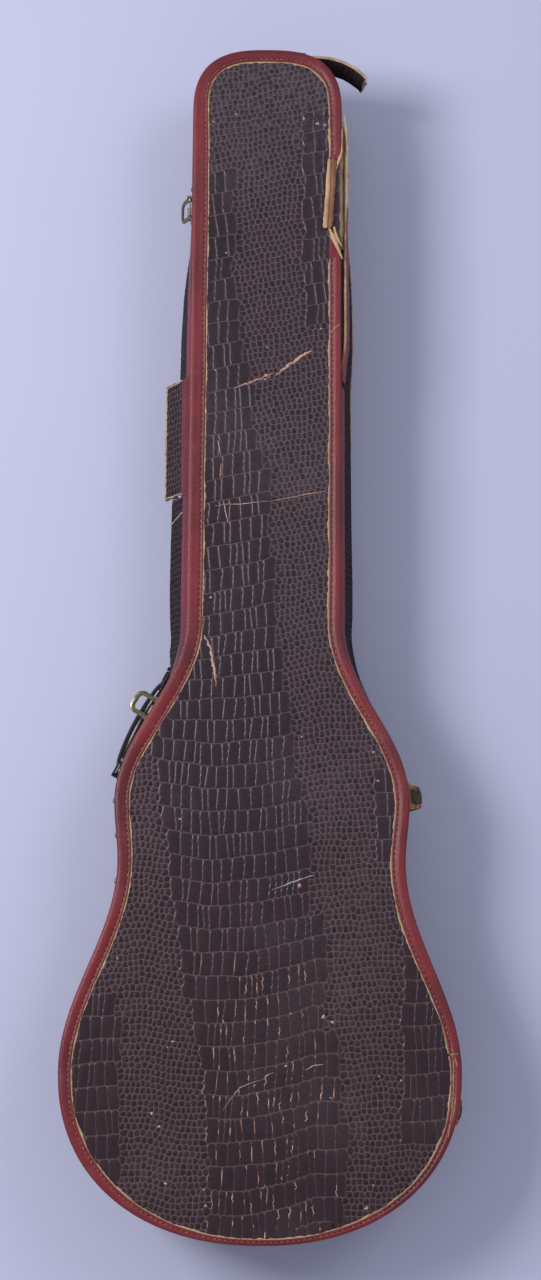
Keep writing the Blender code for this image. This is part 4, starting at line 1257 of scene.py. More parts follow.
def lean_at(place, height):
    """How far out the rim stands at a height, from where it would stand new."""
    depth = max(0.0, LID_TOP - height) / (LID_TOP - RIM_EDGE)
    return flare_at(place) * depth + split_at(place) * (1 - 0.5 * depth)


def rim_offset(place, height):
    return lean_at(place, height) - RIM_INSET


head_joint = distance_of(RIM_HEAD_JOINT_AT, -1)
flap_head = distance_of(FLAP_TO, -1)
flap_tail = distance_of(FLAP_FROM, -1)
rim_parts = (
    ("rim_board_latch_side_head", head_joint + WALL_SEAM, flap_head - FLAP_CRACK / 2, 41),
    ("rim_board_flap", flap_head + FLAP_CRACK / 2, flap_tail - FLAP_CRACK / 2, 42),
    ("rim_board_latch_side_tail", flap_tail + FLAP_CRACK / 2, ROUND_LENGTH - WALL_SEAM, 43),
    ("rim_board_hinge_side", WALL_SEAM, distance_of(RIM_TEAR_AT, 1), 44),
)
for name, start, end, seed in rim_parts:
    node = "rim_strip_hinge_side" if name.endswith("hinge_side") else "rim_strip_latch_side"
    embossed_strip(
        name,
        start,
        end,
        RIM_EDGE,
        RIM_TOP,
        edge_at,
        rim_offset,
        RIM_BOARD,
        "lid",
        random.Random(seed),
        fringe=FRINGE,
        # The flap keeps the unshaded board; the other strips have the painted shade.
        finish=EMBOSSED_DULL if name == "rim_board_flap" else EMBOSSED_PAINTED_SHADE,
        replaced=[node],
    )

curl_leaves = next(n for n in range(len(EDGE) // 4, len(EDGE)) if EDGE[n].x < CURL_FROM_HALF)
curl_points = [EDGE[curl_leaves] + EDGE_OUT[curl_leaves] * CURL_PULL]
heading = CURL_START
for _ in range(CURL_PARTS):
    heading -= CURL_LENGTH / CURL_PARTS / CURL_RADIUS
    way = Vector((math.cos(heading), math.sin(heading)))
    curl_points.append(curl_points[-1] + CURL_LENGTH / CURL_PARTS * way)


def head_path(distance):
    """The run of the head strip: from the tip of its curl onto the outline."""
    if distance >= CURL_LENGTH:
        place, out = edge_at(curl_leaves * EDGE_STEP + distance - CURL_LENGTH)
        return place + out * CURL_PULL * smoothly(1 - (distance - CURL_LENGTH) / CURL_PULL_RUN), out
    index = max(0.0, (1 - distance / CURL_LENGTH) * CURL_PARTS)
    first = min(int(index), CURL_PARTS - 1)
    place = curl_points[first].lerp(curl_points[first + 1], index - first)
    along = (curl_points[first] - curl_points[first + 1]).normalized()
    return place, Vector((along.y, -along.x))


def head_offset(place, height):
    """How far out the head strip stands. Its loose end has tipped in, so that its inside shows."""
    depth = (LID_TOP - height) / (LID_TOP - RIM_EDGE)
    return CURL_SPLAY * depth * smoothly((place.x - 0.028) / 0.030) - RIM_INSET


head_end = CURL_LENGTH + head_joint - curl_leaves * EDGE_STEP - WALL_SEAM
head_strip = embossed_strip(
    "rim_board_head",
    0.0,
    head_end,
    RIM_EDGE,
    RIM_TOP,
    head_path,
    head_offset,
    RIM_BOARD,
    "lid",
    random.Random(45),
    fringe=HEAD_FRINGE,
    replaced=["rim_strip_head"],
)
for corner in head_strip.data.vertices:
    if corner.co.x > CURL_FROM_HALF - 0.004:
        corner.co.z = RIM_EDGE + (corner.co.z - RIM_EDGE) * CURL_TRIM


def add_lip(form, start, end, chance):
    """The torn free edge of a rim board: pulp and paper that stand out of its face."""
    rings = []
    for distance in stops(start, end, TEAR_STEP):
        place, _ = edge_at(distance)
        face = rim_offset(place, RIM_EDGE)
        out, up = chance.uniform(0.0002, 0.0014), chance.uniform(0.0006, 0.0024)
        section = (
            (face - RIM_BOARD, RIM_EDGE - 0.0001),
            (face + out, RIM_EDGE - 0.0001),
            (face + out * 0.6, RIM_EDGE + up),
            (face - 0.0012, RIM_EDGE + up),
        )
        rings.append(ring_at(distance, section))
    add_sweep(form, rings)


def add_tear(form, distance, slant, chance):
    """A torn line of pulp down the face of a rim board, from the binding to the free edge."""
    place, out = edge_at(distance)
    along = Vector((-out.y, out.x))
    rings = []
    for share in stops(0.0, 1.0, 0.05):
        height = LID_TOP - TEAR_FROM + (RIM_EDGE - LID_TOP + TEAR_FROM) * share
        middle = slant * share + chance.uniform(-0.0004, 0.0004)
        half = chance.uniform(0.0003, 0.0008)
        ring = []
        for reach, lift in ((-half, 0.0005), (half, 0.0005), (half, -0.0010), (-half, -0.0010)):
            spot = place + out * (rim_offset(place, height) + lift) + along * (middle + reach)
            ring.append(Vector((*spot, height)))
        rings.append(ring)
    add_sweep(form, rings)


lips = bmesh.new()
lip_chance = random.Random(52)
add_tear(lips, flap_tail - 0.0014, -0.0008, lip_chance)
add_tear(lips, flap_head + 0.0014, 0.0008, lip_chance)
add_tear(lips, distance_of(0.630, -1), 0.0070, lip_chance)
add_lip(lips, flap_head + FLAP_CRACK, flap_tail - FLAP_CRACK, lip_chance)
add_lip(lips, distance_of(0.70, 1), distance_of(0.93, 1), lip_chance)
solid_piece("rim_board_torn_lips", lips, "lid", [RAW_EDGE], slot="raw_board")


# Liner band
# A bent strip of raw board, glued inside the rim. The tray's wall meets it when the case shuts, so
# it shows only with the lid open.

LINER_BOARD = raw_finish("liner_board", (0.300, 0.210, 0.135), (0.150, 0.090, 0.055))
dress(["lid_liner_band"], LINER_BOARD)


# Lid binding
# The same leatherette, stitched through the panel and the rim: wide over the panel and turned down
# the rim, with its paper core showing along the inner edge. It is split and torn away beside the
# neck on the hinge side.

FACE_WIDTHS_HINGE = (
    (0.00, 0.0055),
    (0.02, 0.0065),
    (0.06, 0.0072),
    (0.14, 0.0095),
    (0.25, 0.0125),
    (0.35, 0.0125),
    (0.45, 0.0115),
    (0.60, 0.0107),
    (0.95, 0.0107),
    (1.05, 0.0118),
)
FACE_WIDTHS_LATCH = (
    (0.00, 0.0055),
    (0.02, 0.0085),
    (0.06, 0.0105),
    (0.14, 0.0112),
    (0.25, 0.0120),
    (0.35, 0.0125),
    (0.45, 0.0140),
    (0.60, 0.0146),
    (0.95, 0.0146),
    (1.05, 0.0118),
)
FACE_STITCH = 0.0027
FACE_STITCH_DOWN = 0.0006
SIDE_FROM = 0.0050
SIDE_STITCH = 0.0087
SIDE_SWELL = 0.0102
SIDE_DEPTH = 0.0116
BINDING_THICK = 0.0010
BINDING_STEP = 0.0017
CORE_STEP = 0.0013
STITCH_SHARE = 0.42
FOLD_ANGLE = math.radians(70)
BINDING_JOINT_AT = 0.161
BINDING_JOINT_GAP = 0.0012
BARE_FROM = 0.857
BARE_TO = 0.9525
TORN_TAIL_AT = 0.877
TORN_HEAD_AT = 0.9455
TORN_POINT = 0.0072
LEG_FROM = 0.745
LEG_TO = 0.904


def face_width(distance):
    """How far the binding reaches over the panel at a distance round the edge."""
    place, _ = edge_at(distance)
    table = FACE_WIDTHS_HINGE if place.x > 0 else FACE_WIDTHS_LATCH
    return read(table, place.y + LENGTH / 2)[0] + 0.0004 * noise.noise(Vector((distance * 22, 0, 0)))


def face_stitch(distance):
    width = face_width(distance)
    return min(FACE_STITCH, STITCH_SHARE * width) - width


def binding_section(distance, side=True):
    """The binding's section: over the panel, round the corner and down the rim."""
    place, _ = edge_at(distance)
    width = face_width(distance)
    dip = min(FACE_STITCH, STITCH_SHARE * width)
    swell = 0.0002 * noise.noise(Vector((distance * 55, 5.0, 0)))
    pucker = 0.00012 * math.cos(math.tau * distance / STITCH_PITCH)
    outer = [
        (-width, -0.0013),
        (-width + 0.0003, -0.0005),
        (-width + 0.25 * dip, -0.0002 + swell),
        (-width + 0.75 * dip, -0.0001 + swell),
        (-width + dip, -0.0010 - pucker),
        (-width + 1.25 * dip, -0.0001 + swell),
        (-0.0022, 0.0),
        (-0.0010, -0.0005),
        (-0.0003, -0.0015),
        (0.0, -0.0030),
    ]
    inner = [(-BINDING_THICK, -0.0030), (-0.0022, -0.0014)]
    if side:
        depths = (SIDE_FROM, SIDE_STITCH, SIDE_SWELL, SIDE_DEPTH)
        upper, stitch, lower, hem = [lean_at(place, LID_TOP - depth) for depth in depths]
        outer += [
            (upper, -SIDE_FROM),
            (stitch + 0.0001, -0.0078),
            (stitch - 0.0004, -SIDE_STITCH),
            (lower + swell, -SIDE_SWELL),
            (hem + swell, -SIDE_DEPTH),
        ]
        inner = [
            (hem - BINDING_THICK, -SIDE_DEPTH),
            (stitch - BINDING_THICK - 0.0002, -SIDE_STITCH),
            (upper - BINDING_THICK, -SIDE_FROM),
        ] + inner
    return [(across, LID_TOP + down) for across, down in outer + inner]


def torn_section(low, high):
    """A torn part of the binding's face, between two distances out from the edge."""
    section = []
    for share in (0.0, 0.15, 0.5, 0.85, 1.0):
        across = low + (high - low) * share
        droop = 0.0014 * smoothly((across + 0.0014) / 0.0012)
        section.append((across, -0.0002 - 0.0004 * (2 * share - 1) ** 2 - droop))
    section += [(high, section[-1][1] - BINDING_THICK), (low, section[0][1] - BINDING_THICK)]
    return [(across, LID_TOP + down) for across, down in section]


def torn_tail_section(distance):
    share = (distance - hinge_at[BARE_FROM]) / (hinge_at[TORN_TAIL_AT] - hinge_at[BARE_FROM])
    width = face_width(distance)
    ragged = 0.0005 * noise.noise(Vector((distance * 900, 0, 0)))
    return torn_section(-width, -0.0003 - (width - 0.0008) * share + ragged * (1 - share))


def torn_head_section(distance):
    share = (distance - hinge_at[TORN_HEAD_AT]) / (hinge_at[BARE_TO] - hinge_at[TORN_HEAD_AT])
    width = face_width(distance)
    ragged = 0.0004 * noise.noise(Vector((distance * 900, 4.0, 0)))
    low = -TORN_POINT - (width - TORN_POINT) * share - 0.0002 + ragged
    return torn_section(low, -TORN_POINT + (TORN_POINT - 0.0003) * share + 0.0002 + ragged)


def leg_section(distance):
    """The side of the binding where it has parted from its face and moved out with the rim."""
    place, _ = edge_at(distance)
    section = []
    for depth in (0.0030, SIDE_FROM, SIDE_STITCH, SIDE_DEPTH):
        ruffle = 0.0005 * noise.noise(Vector((distance * 90, depth * 300, 0)))
        section.append((lean_at(place, LID_TOP - depth) + 0.0004 + ruffle, LID_TOP - depth + ruffle))
    back = [(across - BINDING_THICK, height) for across, height in reversed(section)]
    return section + back


binding = bmesh.new()
hinge_stations = (BINDING_JOINT_AT, SPLIT_FROM, BARE_FROM, BARE_TO, TORN_TAIL_AT, TORN_HEAD_AT)
hinge_at = {station: distance_of(station, 1) for station in hinge_stations}
full_from = distance_of(SPLIT_TO, 1)
joint = hinge_at[BINDING_JOINT_AT]
spans = (
    (joint + BINDING_JOINT_GAP / 2, hinge_at[SPLIT_FROM], binding_section, {}),
    (hinge_at[SPLIT_FROM], hinge_at[BARE_FROM], binding_section, {"side": False}),
    (hinge_at[BARE_TO], full_from, binding_section, {"side": False}),
    (full_from, ROUND_LENGTH + joint - BINDING_JOINT_GAP / 2, binding_section, {}),
    (hinge_at[BARE_FROM] - 0.0002, hinge_at[TORN_TAIL_AT], torn_tail_section, {}),
    (hinge_at[TORN_HEAD_AT], hinge_at[BARE_TO] + 0.0002, torn_head_section, {}),
    (distance_of(LEG_FROM, 1), distance_of(LEG_TO, 1), leg_section, {}),
)
for start, end, section, settings in spans:
    rings = [ring_at(distance, section(distance, **settings)) for distance in stops(start, end, BINDING_STEP)]
    add_sweep(binding, rings)
solid_piece(
    "lid_binding_cover", binding, "lid", [LEATHERETTE], FOLD_ANGLE, ["lid_binding"], "leatherette_binding"
)

stitched = ((joint, hinge_at[BARE_FROM]), (hinge_at[BARE_TO], ROUND_LENGTH + joint))
for number, (start, end) in enumerate(stitched):
    name = f"lid_binding_face_stitches_{number + 1}"
    stitched_line(name, start, end, face_stitch, LID_TOP - FACE_STITCH_DOWN, "lid")
side_stitched = ((joint, hinge_at[SPLIT_FROM]), (full_from, ROUND_LENGTH + joint))
for number, (start, end) in enumerate(side_stitched):
    stitched_line(
        f"lid_binding_side_stitches_{number + 1}",
        start,
        end,
        lambda distance: lean_at(edge_at(distance)[0], LID_TOP - SIDE_STITCH) - 0.0003,
        LID_TOP - SIDE_STITCH,
        "lid",
    )

PAPER_CORE = raw_finish("paper_core", (0.420, 0.310, 0.185), (0.200, 0.120, 0.065))
core = bmesh.new()
core_chance = random.Random(8)
for start, end in stitched:
    rings = []
    for distance in stops(start + 0.001, end - 0.001, CORE_STEP):
        width = face_width(distance)
        tear = noise.noise(Vector((distance * 45, 2.0, 0)))
        tear += 0.6 * noise.noise(Vector((distance * 210, 2.0, 5)))
        reach = 0.0001 + max(0.0, 0.0005 + 0.0016 * tear + 0.0005 * core_chance.random())
        level = LID_FACE + SCALE_RELIEF + 0.0002 + 0.0002 * core_chance.random()
        section = (
            (-width - reach, LID_FACE),
            (-width - reach * 0.8, level),
            (-width + 0.0006, level),
            (-width + 0.0006, LID_FACE),
        )
        rings.append(ring_at(distance, section))
    add_sweep(core, rings)
solid_piece("binding_paper_core", core, "lid", [PAPER_CORE], slot="leatherette_binding")


# Torn edge beside the neck
# Where the binding is gone: the bare rim board, the torn pulp on the panel, and the strips of
# core and backing paper that hang from the tear.

TORN_PAPER = raw_finish("torn_paper", (0.250, 0.105, 0.058), (0.140, 0.052, 0.030))


def smooth_line(points, count):
    """A smooth run through points, each a vector, with count stops between two of them."""
    line = []
    padded = [points[0], *points, points[-1]]
    for a, b, c, d in zip(padded, padded[1:], padded[2:], padded[3:]):
        for number in range(count):
            t = number / count
            run = 2 * b + (c - a) * t
            run = run + (2 * a - 5 * b + 4 * c - d) * t * t + (3 * b - a - 3 * c + d) * t ** 3
            line.append(0.5 * run)
    line.append(points[-1])
    return line


RIBBON_STEPS = 6


def add_ribbon(form, rows, thick, chance):
    """A torn strip: rows of x, station, height over the binding and width, with ragged sides."""
    points = [Vector((x, station - LENGTH / 2, LID_TOP + lift, width)) for x, station, lift, width in rows]
    line = smooth_line(points, RIBBON_STEPS)
    rings = []
    for number, point in enumerate(line):
        along = heading_at(line, number)
        side = Vector((along.y, -along.x)).normalized()
        left = point.w / 2 * chance.uniform(0.75, 1.1)
        right = point.w / 2 * chance.uniform(0.75, 1.1)
        lift = thick / 2
        ring = []
        for reach, up in ((-left, lift), (right, lift), (right, -lift), (-left, -lift)):
            place = point.xy + side * reach
            ring.append(Vector((*place, point.z + up)))
        rings.append(ring)
    add_sweep(form, rings)


def torn_strips(name, strips, thick, finish):
    """A piece of one or more torn strips that hang over the tear."""
    form = bmesh.new()
    for rows in strips:
        add_ribbon(form, rows, thick, torn_chance)
    solid_piece(name, form, "lid", [finish], slot="raw_board")


torn_chance = random.Random(17)
split_rings = []
behind_rings = []
for distance in stops(distance_of(SPLIT_FROM + 0.008, 1), distance_of(SPLIT_TO - 0.004, 1), TEAR_STEP):
    place, _ = edge_at(distance)
    shift = split_at(place)
    inner = shift * 0.50 + 0.0004 * torn_chance.random()
    outer = shift + 0.0001 + 0.0006 * torn_chance.random()
    level = RIM_TOP + 0.0008 * torn_chance.random()
    section = ((inner, RIM_TOP - 0.0016), (outer, RIM_TOP - 0.0016), (outer, level - 0.0004), (inner, level))
    split_rings.append(ring_at(distance, section))
    section = ((-0.0060, -0.0036), (shift - 0.0006, -0.0062), (shift - 0.0006, -0.0072), (-0.0060, -0.0046))
    behind_rings.append(ring_at(distance, [(across, LID_FACE + down) for across, down in section]))
swept_piece("bare_rim_edge", split_rings, "lid", [RAW_EDGE], slot="raw_board")
# A near-black sheet below the gap of the split rim: painted shade in the gap.
PAINTED_SHADE_IN_SPLIT = raw_finish("painted_shade_in_split", (0.028, 0.022, 0.020), (0.010, 0.008, 0.008))
swept_piece("painted_shade_sheet_in_the_split", behind_rings, "lid", [PAINTED_SHADE_IN_SPLIT], slot="raw_board")

bare_rings = []
for distance in stops(hinge_at[TORN_TAIL_AT] - 0.012, distance_of(SPLIT_TO - 0.012, 1), TEAR_STEP):
    reach = 0.0022 + 0.0008 * noise.noise(Vector((distance * 80, 0.5, 0))) + 0.0004 * torn_chance.random()
    burst = 0.0012 + 0.0005 * noise.noise(Vector((distance * 130, 2.5, 0))) + 0.0003 * torn_chance.random()
    level = LID_FACE + SCALE_RELIEF
    section = (
        (-reach, LID_FACE),
        (-reach + 0.0004, level),
        (burst - 0.0008, level - 0.0002),
        (burst, level - 0.0010),
        (burst - 0.0004, LID_FACE - 0.0022),
        (-0.0012, LID_FACE - 0.0022),
    )
    bare_rings.append(ring_at(distance, section))
OLIVE_PULP = raw_finish("olive_pulp", (0.210, 0.140, 0.080), (0.080, 0.052, 0.034))
swept_piece("bare_panel_edge", bare_rings, "lid", [OLIVE_PULP], slot="raw_board")

PEEL_THICK = 0.0009
PAPER_THICK = 0.0008
PEELED_CORE = (
    (0.0553, 0.9480, -0.0002, 0.0030),
    (0.0548, 0.9360, 0.0008, 0.0036),
    (0.0540, 0.9192, 0.0014, 0.0040),
    (0.0530, 0.9020, 0.0019, 0.0043),
    (0.0521, 0.8880, 0.0021, 0.0046),
    (0.0518, 0.8835, 0.0020, 0.0036),
)
PEELED_PAPER = (
    (0.0594, 0.9470, -0.0004, 0.0062),
    (0.0588, 0.9360, 0.0004, 0.0058),
    (0.0580, 0.9192, 0.0010, 0.0054),
    (0.0572, 0.9020, 0.0015, 0.0052),
    (0.0564, 0.8890, 0.0016, 0.0052),
    (0.0556, 0.8835, 0.0014, 0.0026),
)
SLIVERS = (
    (
        (0.0556, 0.8840, 0.0006, 0.0020),
        (0.0592, 0.8755, 0.0008, 0.0038),
        (0.0636, 0.8650, 0.0006, 0.0032),
        (0.0672, 0.8560, -0.0004, 0.0012),
    ),
    ((0.0598, 0.8850, 0.0010, 0.0018), (0.0622, 0.8760, 0.0010, 0.0026), (0.0668, 0.8670, 0.0004, 0.0010)),
    ((0.0558, 0.9760, -0.0006, 0.0008), (0.0560, 0.9600, -0.0005, 0.0012), (0.0556, 0.9490, -0.0003, 0.0014)),
    (
        (0.0668, 0.9760, -0.0010, 0.0008),
        (0.0664, 0.9560, -0.0006, 0.0014),
        (0.0642, 0.9480, -0.0003, 0.0028),
        (0.0596, 0.9330, 0.0, 0.0010),
    ),
    ((0.0558, 0.8775, -0.0004, 0.0010), (0.0614, 0.8680, -0.0003, 0.0014), (0.0666, 0.8580, -0.0008, 0.0010)),
    ((0.0686, 0.9890, 0.0002, 0.0010), (0.0704, 0.9750, 0.0004, 0.0018), (0.0718, 0.9550, 0.0, 0.0012)),
)
TORN_CORE = raw_finish("torn_core", (0.490, 0.330, 0.190), (0.270, 0.160, 0.085))
torn_strips("peeled_core", [PEELED_CORE], PEEL_THICK, TORN_CORE)
torn_strips("peeled_paper_strip", [PEELED_PAPER], PAPER_THICK, TORN_PAPER)
torn_strips("torn_slivers", SLIVERS, PAPER_THICK, TORN_CORE)


# Binding joint
# The lid binding is one long strip of leatherette, and its two ends meet at the lower bout. Its
# tan paper core shows in the gap between them and in the cracks below.

JOINT_CRACKS = (
    (0.0009, (0.1616, 0.173), (0.1635, 0.152), (0.1637, 0.131), (0.1621, 0.111), (0.1587, 0.090)),
    (0.0007, (0.1650, 0.158), (0.1668, 0.150)),
    (0.0006, (0.1655, 0.126), (0.1648, 0.118), (0.1630, 0.104)),
    (0.0010, (0.0573, 0.7887), (0.0612, 0.7930), (0.0654, 0.7969)),
)
cracks = bmesh.new()
for width, *line in JOINT_CRACKS:
    outline = ragged_line([on_lid(*point) for point in line], width, torn_chance)
    add_slab(cracks, outline, LID_TOP - 0.0008, LID_TOP + 0.0001)
joint_place, joint_out = edge_at(joint)
joint_line = [joint_place - joint_out * 0.0095, joint_place - joint_out * 0.0022]
outline = ragged_line(joint_line, 0.0014, torn_chance)
add_slab(cracks, outline, LID_FACE, LID_TOP - 0.0002)
solid_piece("binding_cracks", cracks, "lid", [PAPER_CORE], slot="leatherette_binding")


# Hinge straps
# Two strips of thick leather, each held by a domed tack in the tray's wall and one in the lid's
# rim. Each is built bent at the fold where the case opens, and the leather has crumbled there.

STRAP_THICK = 0.0020
STRAP_HALF = 0.0110
STRAP_LIFT = 0.0012
FOLD_REACH = 0.012
STRAP_ANGLE = math.radians(60)
STRAP_STEPS = 5
CRUMBS_FROM = -0.002
CRUMBS_TO = 0.011
CRUMBS_HALF = 0.0064
CRUMBS_THICK = 0.0011
STRAPS = (
    ("upper", 0.381, 0.0105),
    ("lower", 0.112, 0.0030),
)


def brass_finish():
    """Old brass: olive tarnish, worn brighter in patches."""
    made, shader, place = finish_of("tarnished_brass")
    tarnish = place.grain(240.0, 3.0).rise(0.35, 0.7)
    lead(tarnish.blend((0.205, 0.180, 0.095), (0.052, 0.044, 0.028)), shader, "Base Color")
    lead(tarnish * 0.3 + 0.25, shader, "Roughness")
    lead(1.0 - tarnish * 0.4, shader, "Metallic")
    relief(place.grain(900.0), shader, 0.00008)
    return made


BRASS = brass_finish()
CRUMBLED = raw_finish("crumbled_leather", (0.060, 0.052, 0.026), (0.008, 0.007, 0.006))
for name, station, bulge in STRAPS:
    tray_node, lid_node = f"hinge_strap_{name}_tray", f"hinge_strap_{name}_lid"
    tray_box, lid_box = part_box(tray_node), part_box(lid_node)
    distance = distance_of(station, 1)
    place, out = edge_at(distance)
    across = Vector((-out.y, out.x))
    foot = -tray_inset + STRAP_LIFT
    head = -RIM_INSET + STRAP_LIFT
    run = [
        (foot, tray_box[0].z),
        (foot, tray_box[0].z + 0.010),
        (foot + STRAP_LIFT, RIM_EDGE - FOLD_REACH),
        (bulge * 0.75, RIM_EDGE - FOLD_REACH / 2),
        (bulge, RIM_EDGE),
        (bulge * 0.80, RIM_EDGE + FOLD_REACH / 2),
        (head + STRAP_LIFT, RIM_EDGE + FOLD_REACH),
        (head, lid_box[1].z - 0.008),
        (head, lid_box[1].z),
    ]
    line = smooth_line([Vector(point) for point in run], STRAP_STEPS)
    strap_chance = random.Random(station)
    rings = []
    for number, point in enumerate(line):
        along = heading_at(line, number).normalized()
        face = Vector((along.y, -along.x))
        ring = []
        for layer in (0.5, -0.5):
            sides = [-1.0, -0.6, -0.2, 0.2, 0.6, 1.0]
            for side in sides if layer > 0 else reversed(sides):
                bend = 1 - abs(point.y - RIM_EDGE) / FOLD_REACH
                narrow = 1 - 0.22 * smoothly(bend)
                narrow -= 0.08 * strap_chance.random() * abs(side) * smoothly(bend * 2)
                fray = STRAP_HALF * side * narrow
                curl = 0.0003 * math.cos(side * 5)
                spot = point + face * (STRAP_THICK * layer + curl + 0.0002 * strap_chance.random())
                ground = place + out * spot.x + across * fray
                ring.append(Vector((*ground, spot.y)))
        rings.append(ring)
    strap = swept_piece(
        f"hinge_strap_{name}",
        rings,
        None,
        [STRAP_LEATHER],
        smooth=STRAP_ANGLE,
        replaced=[tray_node, lid_node],
        slot="leather",
    )
    rings = []
    for number, point in enumerate(line):
        if not RIM_EDGE + CRUMBS_FROM < point.y < RIM_EDGE + CRUMBS_TO:
            continue
        along = heading_at(line, number).normalized()
        face = Vector((along.y, -along.x)) * (1 if along.y > 0 else -1)
        ring = []
        for layer, reach in ((0.9, 1.0), (1.9, 0.7), (2.4, 0.0), (1.9, -0.7), (0.9, -1.0)):
            spot = point + face * (CRUMBS_THICK * layer * strap_chance.uniform(0.7, 1.1))
            fray = CRUMBS_HALF * reach * strap_chance.uniform(0.65, 1.2)
            ground = place + out * spot.x + across * fray
            ring.append(Vector((*ground, spot.y)))
        rings.append(ring)
    crumbs = swept_piece(f"hinge_strap_{name}_crumbled_fold", rings, None, [CRUMBLED], slot="leather")
    fold = place + out * bulge
    for bent in (strap, crumbs):
        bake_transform(bent)
    dress([f"{tray_node}_tack", f"{lid_node}_tack"], BRASS)


# Latches
# Stamped steel plates, riveted to the rim and to the tray's wall. A brass loop turns on a pin in
# the upper plate and hooks over a sprung nose in the lower one.


def steel_finish():
    """Nickelled steel gone dull, with rust in the pits."""
    made, shader, place = finish_of("latch_steel")
    pits = place.grain(330.0, 4.0, 0.7)
    rust = pits.rise(0.55, 0.75)
    lead(rust.blend((0.180, 0.170, 0.145), (0.060, 0.034, 0.022)), shader, "Base Color")
    lead(rust * 0.4 + 0.42, shader, "Roughness")
    lead(1.0 - rust * 0.8, shader, "Metallic")
    relief(pits, shader, 0.00012)
    return made


STEEL = steel_finish()
for latch in ("head_latch", "shoulder_latch"):
    plates = [f"{latch}_loop_plate", f"{latch}_loop_pin", f"{latch}_nose_plate", f"{latch}_nose_pin"]
    rivets = [f"{latch}_{side}_rivet_{number}" for side in ("loop", "nose") for number in (1, 2)]
    dress(plates + rivets + [f"{latch}_nose"], STEEL)

LOOP_HALF = 0.0086
LOOP_REACH = 0.0167
LOOP_CORNER = 0.0050
LOOP_STRAP = 0.0041
LOOP_THICK = 0.0016
LOOP_BARREL = 0.0017
BARREL_CORNERS = 12
LOOPS = (
    ("shoulder_loop", "shoulder_latch", math.radians(90)),
    ("head_loop", "head_latch", math.radians(25)),
)
LOOP_PROFILE = (
    (0.5, 0.3),
    (0.5, -0.3),
    (0.36, -0.5),
    (-0.36, -0.5),
    (-0.5, -0.3),
    (-0.5, 0.3),
    (-0.36, 0.5),
    (0.36, 0.5),
)
LOOP_BARREL_ENDS = ((0.0, 0.8), (0.0004, 1.0), (0.0040, 1.0), (0.0044, 0.8))


def loop_line():
    """The middle of the loop's strap: out along one arm, round the end and back, in its own plane."""
    line = [(-LOOP_HALF, 0.0004), (-LOOP_HALF, (LOOP_REACH - LOOP_CORNER) / 2)]
    for number in range(7):
        turn = math.pi / 2 * number / 6
        across = -LOOP_HALF + LOOP_CORNER * (1 - math.cos(turn))
        line.append((across, LOOP_REACH - LOOP_CORNER * (1 - math.sin(turn))))
    return line + [(-across, reach) for across, reach in reversed(line)]


for body, latch, swung in LOOPS:
    pin_low, pin_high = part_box(f"{latch}_loop_pin")
    pin = (pin_low + pin_high) / 2
    nearest = min(range(len(EDGE)), key=lambda number: (EDGE[number] - pin.xy).length)
    out = EDGE_OUT[nearest]
    along_pin = Vector((-out.y, out.x, 0.0))
    reach_out = Vector((*out, 0.0)) * math.sin(swung) - Vector((0, 0, 1)) * math.cos(swung)
    face = along_pin.cross(reach_out)
    line = [along_pin * across + reach_out * reach for across, reach in loop_line()]
    rings = []
    for number, point in enumerate(line):
        side = heading_at(line, number).normalized().cross(face)
        rings.append([pin + point + side * LOOP_STRAP * a + face * LOOP_THICK * b for a, b in LOOP_PROFILE])
    loop = bmesh.new()
    add_sweep(loop, rings)
    side = along_pin.cross(face)
    for sign in (-1, 1):
        rings = []
        for step, girth in LOOP_BARREL_ENDS:
            middle = pin + along_pin * sign * (LOOP_HALF + LOOP_STRAP / 2 - step)
            rings.append(round_ring(middle, side, face, LOOP_BARREL * girth, BARREL_CORNERS))
        add_sweep(loop, rings)
    solid_piece(f"{latch}_brass_loop", loop, body, [BRASS], CORNER_ANGLE, [f"{latch}_loop"], "brass")


# Handle
# A moulded black grip between two brackets of black-enamelled steel, which are riveted to the
# tray's wall. Its two ends turn on the brackets' pins.


def grip_finish():
    """Hard black moulding, worn glossy by hands, with fine scratches."""
    made, shader, place = finish_of("black_grip")
    scratch = place.times((1.0, 8.0, 1.0)).grain(300.0, 3.0)
    lead(scratch.rise(0.5, 0.8).blend((0.005, 0.004, 0.005), (0.012, 0.010, 0.012)), shader, "Base Color")
    lead(scratch * 0.08 + 0.07, shader, "Roughness")
    shader.inputs["Specular IOR Level"].default_value = 0.22
    relief(scratch, shader, 0.00002)
    return made


GRIP_BLACK = grip_finish()
GRIP_STATIONS = (0.490, 0.400)
GRIP_OUT = 0.0120
GRIP_HEIGHT = 0.046
GRIP_LEG_INSET = 0.0050
GRIP_STEPS = 5
GRIP_CORNERS = 16
FOOT_CORNERS = 14
GRIP_FEET = ((-0.0050, 0.0030), (-0.0044, 0.0039), (0.0044, 0.0039), (0.0050, 0.0030))
GRIP_LINE = (
    (1.000, 0.000, 0.0000, 0.0039),
    (1.000, -0.0087, 0.0000, 0.0039),
    (0.985, -0.0140, 0.0004, 0.0043),
    (0.900, -0.0230, 0.0012, 0.0054),
    (0.750, -0.0266, 0.0022, 0.0068),
    (0.390, -0.0288, 0.0036, 0.0077),
    (0.000, -0.0290, 0.0040, 0.0080),
)

